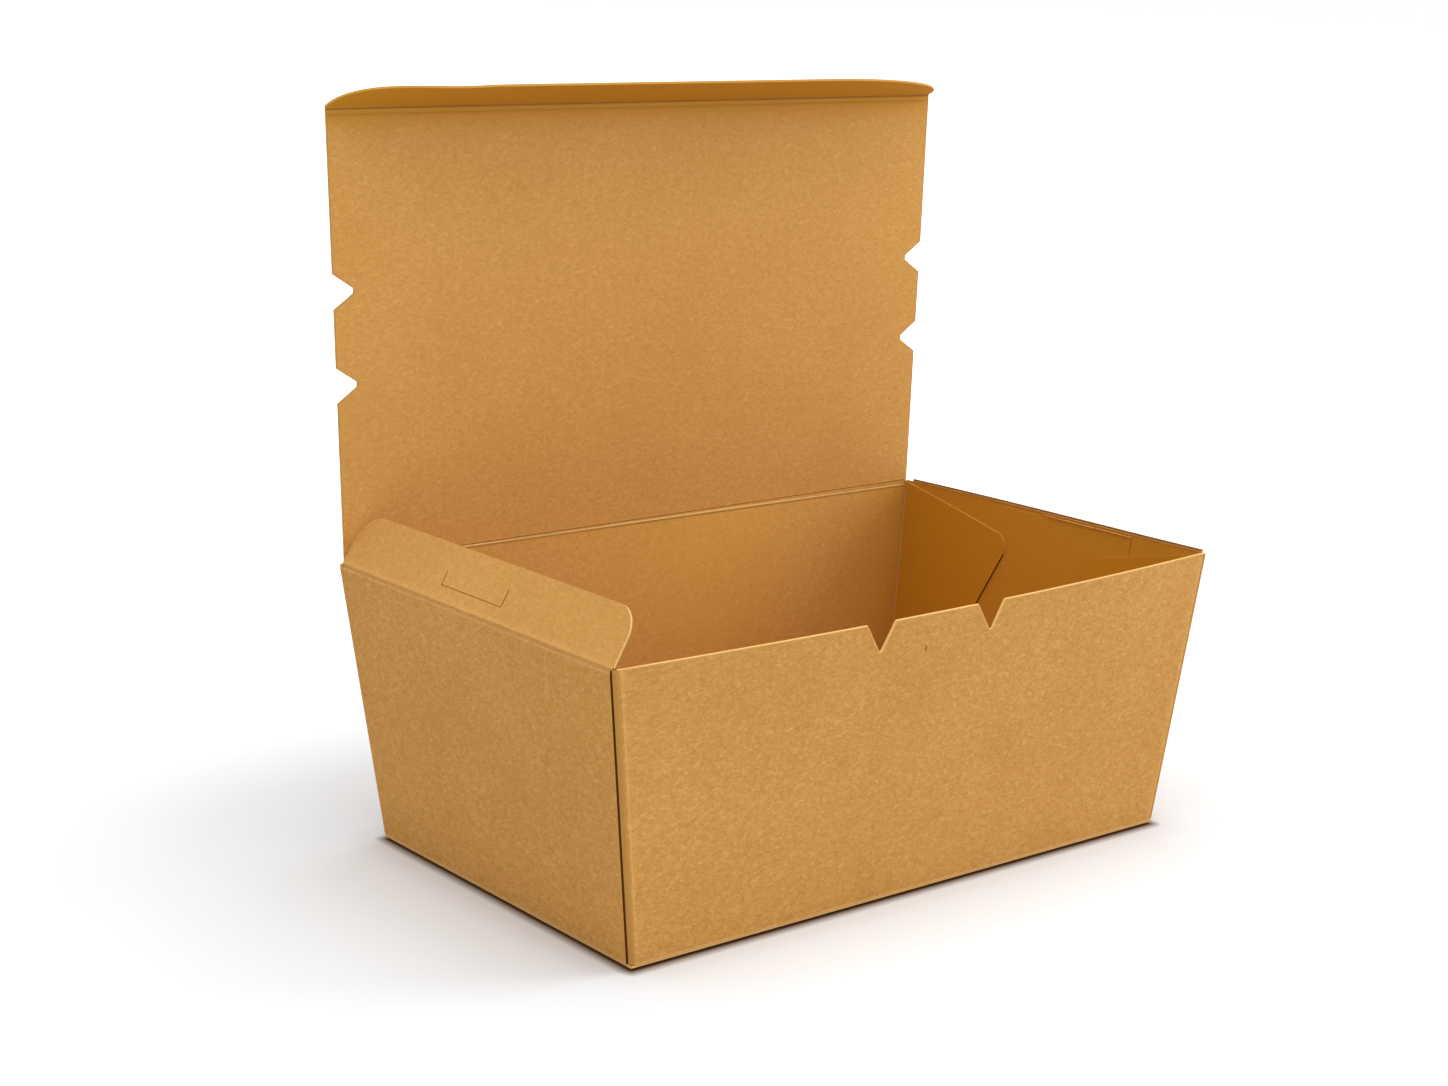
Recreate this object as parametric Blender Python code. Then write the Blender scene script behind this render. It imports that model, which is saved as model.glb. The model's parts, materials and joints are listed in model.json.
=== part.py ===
"""A takeaway box folded from one blank of kraft board.

A tapered tray carries an upright lid on the top edge of its back wall. The lid ends in a tuck flap
with rounded ends, and each side wall has a narrow flap with a slit for the tongue on the lid's side.
All sizes are in metres. X runs along the box to the right, Y to the back, Z up. The origin is the
middle of the base, on the surface that the box stands on.
"""

import math

import bmesh
import bpy
from mathutils import Matrix, Vector

# Board
BOARD = 0.0006
FOLD_RADIUS = 0.00032
GLUE_BITE = 0.00005
HALF_CUT_DEPTH = 0.00015
CUT_LINE_WIDTH = 0.0004
OVERRUN = 0.002

# Tray
TOP_LENGTH = 0.200
TOP_DEPTH = 0.1205
WALL_HEIGHT = 0.0757
SIDE_WALL_RUN = 0.0097
LONG_WALL_RUN = 0.0048
CORNER_SLIT = 0.0010
BACK_WALL_DROP = 0.0005
LEFT_WALL_DROP = 0.0010
RIGHT_WALL_DROP = 0.0002

# Bow of the front wall, outward at the middle of its top edge, and how steeply it grows up the wall
FRONT_BOW = 0.0035
BOW_POWER = 1.5

# Corner glue flaps, in the plane of the side wall: along it from the corner, and down from its top
GLUE_TOP_DROP = 0.0016
GLUE_NOSE_OUT = 0.0462
GLUE_NOSE_DOWN = 0.0118
GLUE_NOSE_RADIUS = 0.0045
GLUE_FOOT_OUT = 0.0120
GLUE_FOOT_GAP = 0.0020

# Front wall's tongue, between two V notches
FRONT_NOTCH_DEPTH = 0.0081
FRONT_NOTCH_OPENING = 0.0098
FRONT_TONGUE_ROOT = 0.0374

# Line cut half through the right wall's inner face
WALL_LINE_LENGTH = 0.0620
WALL_LINE_DROP = 0.0025
WALL_LINE_LEG = 0.0040

# Lid
LID_SIDE_CLEARANCE = 0.00085
LID_FRONT_CLEARANCE = 0.0035
LID_FLARE = 0.00335
LID_FOLD_RISE = 0.0003
LID_EDGE_DROP = 0.00075
LID_NOTCH_DEPTH = 0.0063
LID_NOTCH_OPENING = 0.0091
LID_NOTCH_TIP = 0.0012
LID_TONGUE_ROOT = 0.0242

# Tuck flap
TUCK_WIDTH = 0.0185
TUCK_RISE_DEG = 20.0
TUCK_END_RUN = 0.0440
TUCK_FULLNESS = 1.6

# Side flaps
SIDE_FLAP_WIDTH = 0.0150
SIDE_FLAP_INSET = 0.0010
SIDE_FLAP_TAPER_DEG = 11.0
SIDE_FLAP_CORNER_RADIUS = 0.0065
SIDE_FLAP_LEAN_DEG = 60.0
RIGHT_FLAP_STAND_OFF = 0.0006
SLIT_OFFSET = 0.0044
SLIT_LENGTH = 0.0258
SLIT_LEG = 0.0046

# Fineness of curves
ARC_STEPS = 8
FOLD_SIDES = 12
END_STEPS = 14
BOW_STEPS = 10
BOW_LEVELS = 4

# Colours of the board
BOARD_OUTER = (0.60, 0.37, 0.17, 1.0)
BOARD_FLAP = (0.64, 0.41, 0.20, 1.0)
BOARD_LID = (0.62, 0.38, 0.17, 1.0)
BOARD_ROUGHNESS = 0.85

HALF_BOARD = BOARD / 2
FOLD_RISE = FOLD_RADIUS * math.cos(math.pi / FOLD_SIDES)

# The walls lean out from the base, and the lid fits the tray's top and widens to its free edge
BASE_LENGTH = TOP_LENGTH - 2 * SIDE_WALL_RUN
BASE_DEPTH = TOP_DEPTH - 2 * LONG_WALL_RUN
LID_DEPTH = TOP_DEPTH - LID_FRONT_CLEARANCE
LID_HINGE_WIDTH = TOP_LENGTH - 2 * LID_SIDE_CLEARANCE
LID_FREE_WIDTH = LID_HINGE_WIDTH + 2 * LID_FLARE

# Folds, on the middle plane of the board
BASE_HALF_LENGTH = BASE_LENGTH / 2 - HALF_BOARD
BASE_HALF_DEPTH = BASE_DEPTH / 2 - HALF_BOARD
TOP_HALF_LENGTH = TOP_LENGTH / 2 - HALF_BOARD
TOP_HALF_DEPTH = TOP_DEPTH / 2 - HALF_BOARD
GLUE_OFFSET = BOARD - GLUE_BITE


def clear_scene():
    """Start from an empty file."""
    for item in list(bpy.data.objects):
        bpy.data.objects.remove(item, do_unlink=True)


def new_collection(name):
    """A collection of its own, linked to the scene."""
    collection = bpy.data.collections.new(name)
    bpy.context.scene.collection.children.link(collection)
    return collection


def board_material(name, colour):
    """Plain uncoated board of one colour."""
    material = bpy.data.materials.new(name)
    material.use_nodes = True
    shader = material.node_tree.nodes["Principled BSDF"]
    shader.inputs["Base Color"].default_value = colour
    shader.inputs["Roughness"].default_value = BOARD_ROUGHNESS
    shader.inputs["Metallic"].default_value = 0.0
    material.diffuse_color = colour
    return material


def add_object(name, mesh):
    """An object for a mesh, linked to the scene."""
    item = bpy.data.objects.new(name, mesh)
    bpy.context.scene.collection.objects.link(item)
    return item


def evaluated_copy(item, name):
    """A plain mesh object with the modifiers of item applied, in its place."""
    bpy.context.view_layer.update()
    graph = bpy.context.evaluated_depsgraph_get()
    mesh = bpy.data.meshes.new_from_object(item.evaluated_get(graph))
    copy = add_object(name, mesh)
    copy.matrix_world = item.matrix_world
    return copy


def plane_frame(origin, along, up):
    """Matrix of a panel's plane: local X along a fold, local Y up the panel, local Z its normal."""
    x_axis = Vector(along).normalized()
    y_axis = (Vector(up) - x_axis * x_axis.dot(Vector(up))).normalized()
    z_axis = x_axis.cross(y_axis)
    frame = Matrix((x_axis, y_axis, z_axis)).transposed().to_4x4()
    frame.translation = Vector(origin)
    return frame


def sheet(name, outline, frame, thickness=BOARD):
    """A flat panel of board: a closed outline in the panel's plane, thickened about it."""
    curve = bpy.data.curves.new(name, "CURVE")
    curve.dimensions = "2D"
    curve.fill_mode = "BOTH"
    curve.extrude = thickness / 2
    spline = curve.splines.new("POLY")
    spline.points.add(len(outline) - 1)
    for point, (along, up) in zip(spline.points, outline):
        point.co = (along, up, 0.0, 1.0)
    spline.use_cyclic_u = True
    flat = add_object(name + "_curve", curve)
    flat.matrix_world = frame
    panel = evaluated_copy(flat, name)
    bpy.data.objects.remove(flat, do_unlink=True)
    weld(panel)
    return panel


def bow_out(item):
    """Divide a panel of the front wall, and bow it out between its foot and its two ends."""
    slant = long_wall_slant()
    shape = bmesh.new()
    shape.from_mesh(item.data)
    bmesh.ops.dissolve_limit(
        shape, angle_limit=math.radians(1.0), verts=shape.verts, edges=shape.edges)
    cuts = [((front_half_width(slant) * (2 * step / BOW_STEPS - 1), 0.0, 0.0), (1.0, 0.0, 0.0))
            for step in range(1, BOW_STEPS)]
    cuts += [((0.0, slant * step / BOW_LEVELS, 0.0), (0.0, 1.0, 0.0)) for step in range(1, BOW_LEVELS)]
    for place, direction in cuts:
        everything = shape.verts[:] + shape.edges[:] + shape.faces[:]
        bmesh.ops.bisect_plane(shape, geom=everything, dist=BOARD / 100, plane_co=place, plane_no=direction)
    bmesh.ops.triangulate(shape, faces=shape.faces)
    for vertex in shape.verts:
        along, up = vertex.co.x, max(vertex.co.y, 0.0)
        share = 1 - (along / front_half_width(up)) ** 2
        vertex.co.z += FRONT_BOW * share * (up / slant) ** BOW_POWER
    shape.to_mesh(item.data)
    shape.free()
    return item


def weld(item):
    """Join the loose caps of a curve's mesh to its sides."""
    shape = bmesh.new()
    shape.from_mesh(item.data)
    bmesh.ops.remove_doubles(shape, verts=shape.verts, dist=BOARD / 100)
    bmesh.ops.recalc_face_normals(shape, faces=shape.faces)
    shape.to_mesh(item.data)
    shape.free()


def fold(name, start, end):
    """The rounded fold between two panels: a slim round bar along the crease."""
    start, end = Vector(start), Vector(end)
    run = end - start
    shape = bmesh.new()
    bmesh.ops.create_cone(
        shape, cap_ends=True, segments=FOLD_SIDES,
        radius1=FOLD_RADIUS, radius2=FOLD_RADIUS, depth=run.length)
    half_facet = Matrix.Rotation(math.pi / FOLD_SIDES, 4, "Z")
    bmesh.ops.transform(shape, matrix=half_facet, verts=shape.verts)
    mesh = bpy.data.meshes.new(name)
    shape.to_mesh(mesh)
    shape.free()
    item = add_object(name, mesh)
    item.matrix_world = Matrix.Translation((start + end) / 2) @ run.to_track_quat("Z", "Y").to_matrix().to_4x4()
    return item


def boolean(item, tool, operation):
    """Add one Boolean to item. The manifold solver keeps thin board closed at any size."""
    step = item.modifiers.new(operation.lower(), "BOOLEAN")
    step.operation = operation
    step.solver = "MANIFOLD"
    step.object = tool


def fuse(name, pieces, cutters=()):
    """Join pieces into one solid, take the cutters out of it, and name the result."""
    body = pieces[0]
    for piece in pieces[1:]:
        boolean(body, piece, "UNION")
    for cutter in cutters:
        boolean(body, cutter, "DIFFERENCE")
    result = evaluated_copy(body, name)
    for piece in pieces:
        bpy.data.objects.remove(piece, do_unlink=True)
    for cutter in cutters:
        bpy.data.objects.remove(cutter, do_unlink=True)
    return result


def set_origin(item, pivot):
    """Move an object's origin to its joint's axis and leave its shape where it is."""
    item.data.transform(Matrix.Translation(-Vector(pivot)) @ item.matrix_world)
    item.matrix_world = Matrix.Translation(Vector(pivot))


def finish(item, collection, material, pivot=(0.0, 0.0, 0.0)):
    """File a finished sub-part in its collection, with its material and its origin."""
    set_origin(item, pivot)
    for holder in list(item.users_collection):
        holder.objects.unlink(item)
    collection.objects.link(item)
    item.data.materials.clear()
    item.data.materials.append(material)
    for face in item.data.polygons:
        face.material_index = 0
    item.data.shade_smooth()
    item.data.set_sharp_from_angle(angle=math.radians(35.0))


def arc_corner(before, corner, after, radius, steps=ARC_STEPS):
    """Points of a round corner of the given radius between two straight edges."""
    before, corner, after = Vector(before), Vector(corner), Vector(after)
    back = (before - corner).normalized()
    ahead = (after - corner).normalized()
    half_angle = back.angle(ahead) / 2
    reach = radius / math.tan(half_angle)
    centre = corner + (back + ahead).normalized() * (radius / math.sin(half_angle))
    first = corner + back * reach - centre
    last = corner + ahead * reach - centre
    sweep = first.angle_signed(last)
    points = []
    for step in range(steps + 1):
        turn = Matrix.Rotation(-sweep * step / steps, 2)
        points.append(tuple(centre + turn @ first))
    return points


def side_wall_frame(side):
    """Plane of a side wall: along Y from the middle of the base fold, and up the wall."""
    foot = (side * BASE_HALF_LENGTH, 0.0, HALF_BOARD)
    up = (side * (TOP_HALF_LENGTH - BASE_HALF_LENGTH), 0.0, WALL_HEIGHT - HALF_BOARD)
    return plane_frame(foot, (0.0, side, 0.0), up)


def long_wall_frame(side):
    """Plane of the front or back wall: along X from the middle of the base fold, and up the wall."""
    foot = (0.0, side * BASE_HALF_DEPTH, HALF_BOARD)
    up = (0.0, side * (TOP_HALF_DEPTH - BASE_HALF_DEPTH), WALL_HEIGHT - HALF_BOARD)
    return plane_frame(foot, (1.0, 0.0, 0.0), up)


def side_wall_slant():
    """Length of a side wall up its slope, from the base fold to its top edge."""
    return math.hypot(TOP_HALF_LENGTH - BASE_HALF_LENGTH, WALL_HEIGHT - HALF_BOARD)


def long_wall_slant():
    """Length of the front or back wall up its slope, from the base fold to its top edge."""
    return math.hypot(TOP_HALF_DEPTH - BASE_HALF_DEPTH, WALL_HEIGHT - HALF_BOARD)


def front_half_width(up):
    """Half the width of the front or back wall at a distance up its slope."""
    foot = BASE_HALF_LENGTH - GLUE_OFFSET
    return foot + (TOP_HALF_LENGTH - BASE_HALF_LENGTH) * up / long_wall_slant()


def base_panel():
    """The base, between its four folds."""
    outline = [
        (-BASE_HALF_LENGTH, -BASE_HALF_DEPTH),
        (BASE_HALF_LENGTH, -BASE_HALF_DEPTH),
        (BASE_HALF_LENGTH, BASE_HALF_DEPTH),
        (-BASE_HALF_LENGTH, BASE_HALF_DEPTH),
    ]
    return sheet("base", outline, Matrix.Translation((0.0, 0.0, HALF_BOARD)))


def notch(centre, tip_up, half_opening, top):
    """Three points of a V notch cut down from a top edge."""
    return [(centre - half_opening, top), (centre, tip_up), (centre + half_opening, top)]


def front_wall():
    """The front wall, bowed out, with the tongue between two V notches in its top edge."""
    top = long_wall_slant()
    tip = top - FRONT_NOTCH_DEPTH
    half_opening = FRONT_NOTCH_OPENING / 2
    half_root = FRONT_TONGUE_ROOT / 2
    outline = [
        (-TOP_HALF_LENGTH + GLUE_OFFSET, top),
        *notch(-half_root, tip, half_opening, top),
        *notch(half_root, tip, half_opening, top),
        (TOP_HALF_LENGTH - GLUE_OFFSET, top),
        (BASE_HALF_LENGTH - GLUE_OFFSET, 0.0),
        (-BASE_HALF_LENGTH + GLUE_OFFSET, 0.0),
    ]
    return bow_out(sheet("front_wall", outline, long_wall_frame(-1)))


def back_wall():
    """The back wall, which ends just below the lid's fold."""
    top = long_wall_slant() - BACK_WALL_DROP
    outline = [
        (-TOP_HALF_LENGTH + GLUE_OFFSET, top),
        (TOP_HALF_LENGTH - GLUE_OFFSET, top),
        (BASE_HALF_LENGTH - GLUE_OFFSET, 0.0),
        (-BASE_HALF_LENGTH + GLUE_OFFSET, 0.0),
    ]
    return sheet("back_wall", outline, long_wall_frame(1))


def side_wall(side, drop):
    """A side wall, whose upright edges stop short of the front and back walls' folds."""
    top = side_wall_slant() - drop
    outline = [
        (-TOP_DEPTH / 2 + CORNER_SLIT, top),
        (TOP_DEPTH / 2 - CORNER_SLIT, top),
        (BASE_DEPTH / 2 - CORNER_SLIT, 0.0),
        (-BASE_DEPTH / 2 + CORNER_SLIT, 0.0),
    ]
    return sheet("side_wall", outline, side_wall_frame(side))


def glue_flap(side, end):
    """A corner glue flap of the front or back wall, stuck to the inner face of a side wall."""
    slant = side_wall_slant()
    hand = side * end
    corner_top = (TOP_HALF_DEPTH, slant - GLUE_TOP_DROP)
    corner_foot = (BASE_HALF_DEPTH, GLUE_FOOT_GAP)
    nose = (TOP_HALF_DEPTH - GLUE_NOSE_OUT, slant - GLUE_NOSE_DOWN)
    foot = (BASE_HALF_DEPTH - GLUE_FOOT_OUT, GLUE_FOOT_GAP)
    points = [corner_top, *arc_corner(corner_top, nose, foot, GLUE_NOSE_RADIUS), foot, corner_foot]
    outline = [(hand * along, up) for along, up in points]
    inward = Matrix.Translation(Vector((-side * GLUE_OFFSET, 0.0, 0.0)))
    return sheet("glue_flap", outline, inward @ side_wall_frame(side))


def corner_fold(side, end):
    """The upright fold at a corner, where the front or back wall turns into its glue flap."""
    foot = (side * (BASE_HALF_LENGTH - GLUE_OFFSET), end * BASE_HALF_DEPTH, HALF_BOARD)
    drop = FOLD_RADIUS if end < 0 else BACK_WALL_DROP
    share = (WALL_HEIGHT - drop) / WALL_HEIGHT
    head = Vector((side * (TOP_HALF_LENGTH - GLUE_OFFSET), end * TOP_HALF_DEPTH, WALL_HEIGHT))
    return fold("corner_fold", foot, Vector(foot).lerp(head, share))


def base_folds():
    """The four folds around the base."""
    long_half = BASE_HALF_LENGTH - GLUE_OFFSET
    short_half = BASE_DEPTH / 2 - CORNER_SLIT
    folds = []
    for end in (-1, 1):
        y = end * BASE_HALF_DEPTH
        folds.append(fold("long_fold", (-long_half, y, FOLD_RISE), (long_half, y, FOLD_RISE)))
    for side in (-1, 1):
        x = side * BASE_HALF_LENGTH
        folds.append(fold("side_fold", (x, -short_half, FOLD_RISE), (x, short_half, FOLD_RISE)))
    return folds


def cut_line(name, frame, start, end, depth):
    """A slim cutter along one line of a panel, reaching the given depth into its +Z face."""
    start, end = Vector(start), Vector(end)
    along = (end - start).normalized()
    across = Vector((-along.y, along.x)) * (CUT_LINE_WIDTH / 2)
    overlap = along * (CUT_LINE_WIDTH / 2)
    outline = [
        start - overlap - across,
        end + overlap - across,
        end + overlap + across,
        start - overlap + across,
    ]
    middle = HALF_BOARD - depth + (depth + OVERRUN) / 2
    lift = Matrix.Translation((0.0, 0.0, middle))
    return sheet(name, [tuple(point) for point in outline], frame @ lift, depth + OVERRUN)


def tongue_crease():
    """The crease across the root of the front tongue, pressed into the outer face."""
    root = long_wall_slant() - FRONT_NOTCH_DEPTH
    half = FRONT_TONGUE_ROOT / 2 - CUT_LINE_WIDTH
    outer = long_wall_frame(-1)
    return bow_out(cut_line("tongue_crease", outer, (-half, root), (half, root), HALF_CUT_DEPTH))


def wall_line():
    """The line cut half through the right wall's inner face, with a short leg at its front end."""
    inner = side_wall_frame(1) @ Matrix.Rotation(math.pi, 4, "Y")
    up = side_wall_slant() - WALL_LINE_DROP
    half = WALL_LINE_LENGTH / 2
    line = cut_line("wall_line", inner, (-half, up), (half, up), HALF_CUT_DEPTH)
    leg = cut_line("wall_leg", inner, (half, up - WALL_LINE_LEG), (half, up), HALF_CUT_DEPTH)
    return [line, leg]


def build_tray(collection):
    """The tray: base, walls and glue flaps, one folded and glued piece."""
    pieces = [base_panel(), front_wall(), back_wall()]
    pieces.append(side_wall(-1, LEFT_WALL_DROP))
    pieces.append(side_wall(1, RIGHT_WALL_DROP))
    for side in (-1, 1):
        for end in (-1, 1):
            pieces.append(glue_flap(side, end))
            pieces.append(corner_fold(side, end))
    pieces.extend(base_folds())
    tray = fuse("tray", pieces, [tongue_crease(), *wall_line()])
    finish(tray, collection, board_material("tray_board", BOARD_OUTER))


def lid_half_width(up):
    """Half the lid's width at a distance from its hinge."""
    return LID_HINGE_WIDTH / 2 + LID_FLARE * up / LID_DEPTH


def lid_side(side):
    """Outline of one side edge of the lid, from hinge to free edge, with its two V notches."""
    points = [(side * lid_half_width(0.0), 0.0)]
    for step in (-1, 1):
        centre = LID_DEPTH / 2 + step * LID_TONGUE_ROOT / 2
        tip = lid_half_width(centre) - LID_NOTCH_DEPTH
        low = centre - LID_NOTCH_OPENING / 2
        high = centre + LID_NOTCH_OPENING / 2
        points.append((side * lid_half_width(low), low))
        points.append((side * tip, centre - LID_NOTCH_TIP / 2))
        points.append((side * tip, centre + LID_NOTCH_TIP / 2))
        points.append((side * lid_half_width(high), high))
    free = LID_DEPTH - LID_EDGE_DROP
    points.append((side * lid_half_width(free), free))
    return points


def build_lid(collection):
    """The lid, upright on the back wall's top edge."""
    pivot = (0.0, TOP_HALF_DEPTH, WALL_HEIGHT + LID_FOLD_RISE)
    outline = lid_side(1) + lid_side(-1)[::-1]
    panel = sheet("lid_panel", outline, plane_frame(pivot, (1.0, 0.0, 0.0), (0.0, 0.0, 1.0)))
    half = LID_HINGE_WIDTH / 2
    crease = fold("lid_fold", (-half, pivot[1], pivot[2]), (half, pivot[1], pivot[2]))
    lid = fuse("lid", [panel, crease])
    finish(lid, collection, board_material("lid_board", BOARD_LID), pivot)


def tuck_end(side, half_root):
    """One rounded end of the tuck flap, from its fold to its free edge."""
    points = []
    for step in range(END_STEPS + 1):
        turn = math.pi / 2 * step / END_STEPS
        inset = TUCK_END_RUN * (1 - math.cos(turn) ** (2 / TUCK_FULLNESS))
        reach = TUCK_WIDTH * math.sin(turn) ** (2 / TUCK_FULLNESS)
        points.append((side * (half_root - inset), reach))
    return points


def build_tuck_flap(collection):
    """The tuck flap, folded forward along the lid's free edge."""
    pivot = (0.0, TOP_HALF_DEPTH, WALL_HEIGHT + LID_FOLD_RISE + LID_DEPTH)
    half_root = LID_FREE_WIDTH / 2
    rise = math.radians(TUCK_RISE_DEG)
    frame = plane_frame(pivot, (1.0, 0.0, 0.0), (0.0, -math.cos(rise), math.sin(rise)))
    outline = tuck_end(1, half_root) + tuck_end(-1, half_root)[::-1]
    panel = sheet("tuck_panel", outline, frame)
    half = half_root - FOLD_RADIUS
    crease = fold("tuck_fold", (-half, pivot[1], pivot[2]), (half, pivot[1], pivot[2]))
    flap = fuse("tuck_flap", [panel, crease])
    finish(flap, collection, board_material("tuck_board", BOARD_LID), pivot)


def side_flap_outline():
    """Outline of a side flap: its fold at zero, ends tapered in, free corners rounded."""
    half_root = TOP_DEPTH / 2 - SIDE_FLAP_INSET
    half_free = half_root - SIDE_FLAP_WIDTH * math.tan(math.radians(SIDE_FLAP_TAPER_DEG))
    right = [(half_root, 0.0)]
    right += arc_corner(
        (half_root, 0.0), (half_free, SIDE_FLAP_WIDTH), (0.0, SIDE_FLAP_WIDTH), SIDE_FLAP_CORNER_RADIUS)
    left = [(-along, out) for along, out in reversed(right)]
    return right + left


def slit_cutters(frame):
    """The U-shaped slit right through a side flap, open towards the free edge."""
    half = SLIT_LENGTH / 2
    near = SLIT_OFFSET
    far = SLIT_OFFSET + SLIT_LEG
    runs = [
        ((-half, near), (half, near)),
        ((-half, near), (-half, far)),
        ((half, near), (half, far)),
    ]
    lowered = frame @ Matrix.Translation((0.0, 0.0, OVERRUN / 2))
    cutters = []
    for number, (start, end) in enumerate(runs):
        cutters.append(cut_line("slit_%d" % number, lowered, start, end, BOARD + OVERRUN))
    return cutters


def build_side_flap(name, collection, pivot, outward):
    """A side flap whose panel runs from its fold along the outward direction."""
    frame = plane_frame(pivot, (0.0, 1.0, 0.0), outward)
    panel = sheet(name + "_panel", side_flap_outline(), frame)
    half = TOP_DEPTH / 2 - SIDE_FLAP_INSET
    crease = fold(name + "_fold", (pivot[0], -half, pivot[2]), (pivot[0], half, pivot[2]))
    flap = fuse(name, [panel, crease], slit_cutters(frame))
    finish(flap, collection, board_material(name + "_board", BOARD_FLAP), pivot)


def build_left_flap(collection):
    """The left side flap, standing up and leaning in over the tray."""
    lean = math.radians(SIDE_FLAP_LEAN_DEG)
    pivot = (-TOP_HALF_LENGTH, 0.0, WALL_HEIGHT)
    build_side_flap("left_flap", collection, pivot, (math.cos(lean), 0.0, math.sin(lean)))


def build_right_flap(collection):
    """The right side flap, turned right over the wall's top edge and lying along its outer face."""
    pivot = (TOP_LENGTH / 2 + RIGHT_FLAP_STAND_OFF, 0.0, WALL_HEIGHT)
    down_wall = (BASE_HALF_LENGTH - TOP_HALF_LENGTH, 0.0, HALF_BOARD - WALL_HEIGHT)
    build_side_flap("right_flap", collection, pivot, down_wall)


def build_box():
    """The whole box, each sub-part in its place."""
    clear_scene()
    collection = new_collection("takeaway_box")
    build_tray(collection)
    build_lid(collection)
    build_tuck_flap(collection)
    build_left_flap(collection)
    build_right_flap(collection)


build_box()
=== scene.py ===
"""Looks of a takeaway box folded from one blank of kraft board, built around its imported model.

Each panel starts as a flat, die-cut outline, is divided finely, turned past its creases with round
bends and given the board's thickness by a node tree. X runs along the box, Y to its back, Z up.
"""

import json
import math

import bmesh
import bpy
import numpy as np
from mathutils import Matrix, Vector


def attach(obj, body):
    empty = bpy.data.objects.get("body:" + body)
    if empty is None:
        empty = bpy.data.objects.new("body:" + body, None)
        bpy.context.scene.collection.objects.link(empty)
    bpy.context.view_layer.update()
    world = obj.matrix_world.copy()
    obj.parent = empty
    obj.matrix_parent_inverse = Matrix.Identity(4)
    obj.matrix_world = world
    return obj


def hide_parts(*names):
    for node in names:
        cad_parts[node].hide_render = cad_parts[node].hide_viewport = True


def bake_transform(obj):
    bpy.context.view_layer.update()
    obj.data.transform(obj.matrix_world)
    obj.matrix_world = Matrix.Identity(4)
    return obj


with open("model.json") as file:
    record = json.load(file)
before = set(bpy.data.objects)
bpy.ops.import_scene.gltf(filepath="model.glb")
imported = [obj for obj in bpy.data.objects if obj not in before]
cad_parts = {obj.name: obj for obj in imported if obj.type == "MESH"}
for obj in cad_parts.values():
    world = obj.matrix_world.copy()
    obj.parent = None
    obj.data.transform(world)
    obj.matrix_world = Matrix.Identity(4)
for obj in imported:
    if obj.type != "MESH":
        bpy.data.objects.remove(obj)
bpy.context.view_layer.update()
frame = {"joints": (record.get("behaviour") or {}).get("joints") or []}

bl_info = {
    "name": "Takeaway box",
    "version": (1, 0, 0),
    "blender": (4, 5, 0),
    "location": "3D View > Sidebar > Box",
    "description": "Builds a folded kraft board box, its materials and its studio",
    "category": "Object",
}

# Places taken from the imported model
PIVOT = {joint["name"]: Vector(joint["pos_m"]) for joint in frame["joints"]}
WALL_HEIGHT = PIVOT["left_flap_fold"].z
TOP_HALF_LENGTH = -PIVOT["left_flap_fold"].x
TOP_HALF_DEPTH = PIVOT["lid_hinge"].y
LID_DEPTH = PIVOT["tuck_fold"].z - PIVOT["lid_hinge"].z

# Board
BOARD = 0.0006
BEND_RADIUS = 0.00065
BASE_BEND_RADIUS = 0.00042
BEND_CUTS = 6
GRID = 0.003
GLUE_OFFSET = 0.00062
MERGE = 0.00002
SHARP_DEG = 50.0
CUT_DISTANCE = MERGE / 10
CLOSING_DISTANCE = BOARD / 100
RELIEF_DISTANCE = BOARD / 4

# Tray
SIDE_WALL_RUN = 0.0097
LONG_WALL_RUN = 0.0048
FRONT_SLIT = 0.0019
BACK_SLIT = 0.0005
LEFT_BACK_REACH = 0.0013
BACK_WALL_DROP = 0.0001
LEFT_WALL_DROP = 0.0004
RIGHT_WALL_DROP = 0.0002
BOW_POWER = 1.5
BOW_STEPS = 12
LIFT_POWER = 4
BASE_SAG = 0.0007
CORNER_LIFT = 0.0011
BASE_SAG_RUN = 0.009
RIGHT_BOW_START = 0.85
RIGHT_BOW_BLEND = 0.05

# Corner glue flaps, in the plane of the side wall: along it from the corner, and down from its top
GLUE_TOP_DROP = 0.0003
GLUE_NOSE_OUT = 0.0462
GLUE_NOSE_DOWN = 0.0103
GLUE_NOSE_RADIUS = 0.0045
GLUE_FOOT_OUT = 0.0120
GLUE_FOOT_GAP = 0.0020

# Front wall's tongue between its two V notches, with the crease across its root
NOTCH_OUTER = 0.0232
NOTCH_TIP = 0.0187
NOTCH_TIP_HALF = 0.0004
NOTCH_INNER = 0.0139
NOTCH_TIP_SHIFT = 0.0007
NOTCH_DEPTH = 0.0075
TONGUE_MIDDLE = -0.0028
TONGUE_CREASE = (-0.0108, 0.0091)
TONGUE_NICK = -0.0060
TONGUE_NICK_LENGTH = 0.0010
NICK_CUTS = (0.6, 1.0, 1.5, 2.0, 2.4)

# Line pressed into the right wall
WALL_LINE = (-0.0320, 0.0300)
WALL_LINE_DROP = 0.0010
WALL_LINE_LEG = 0.0040
WALL_LINE_FADE = 2.0

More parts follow.
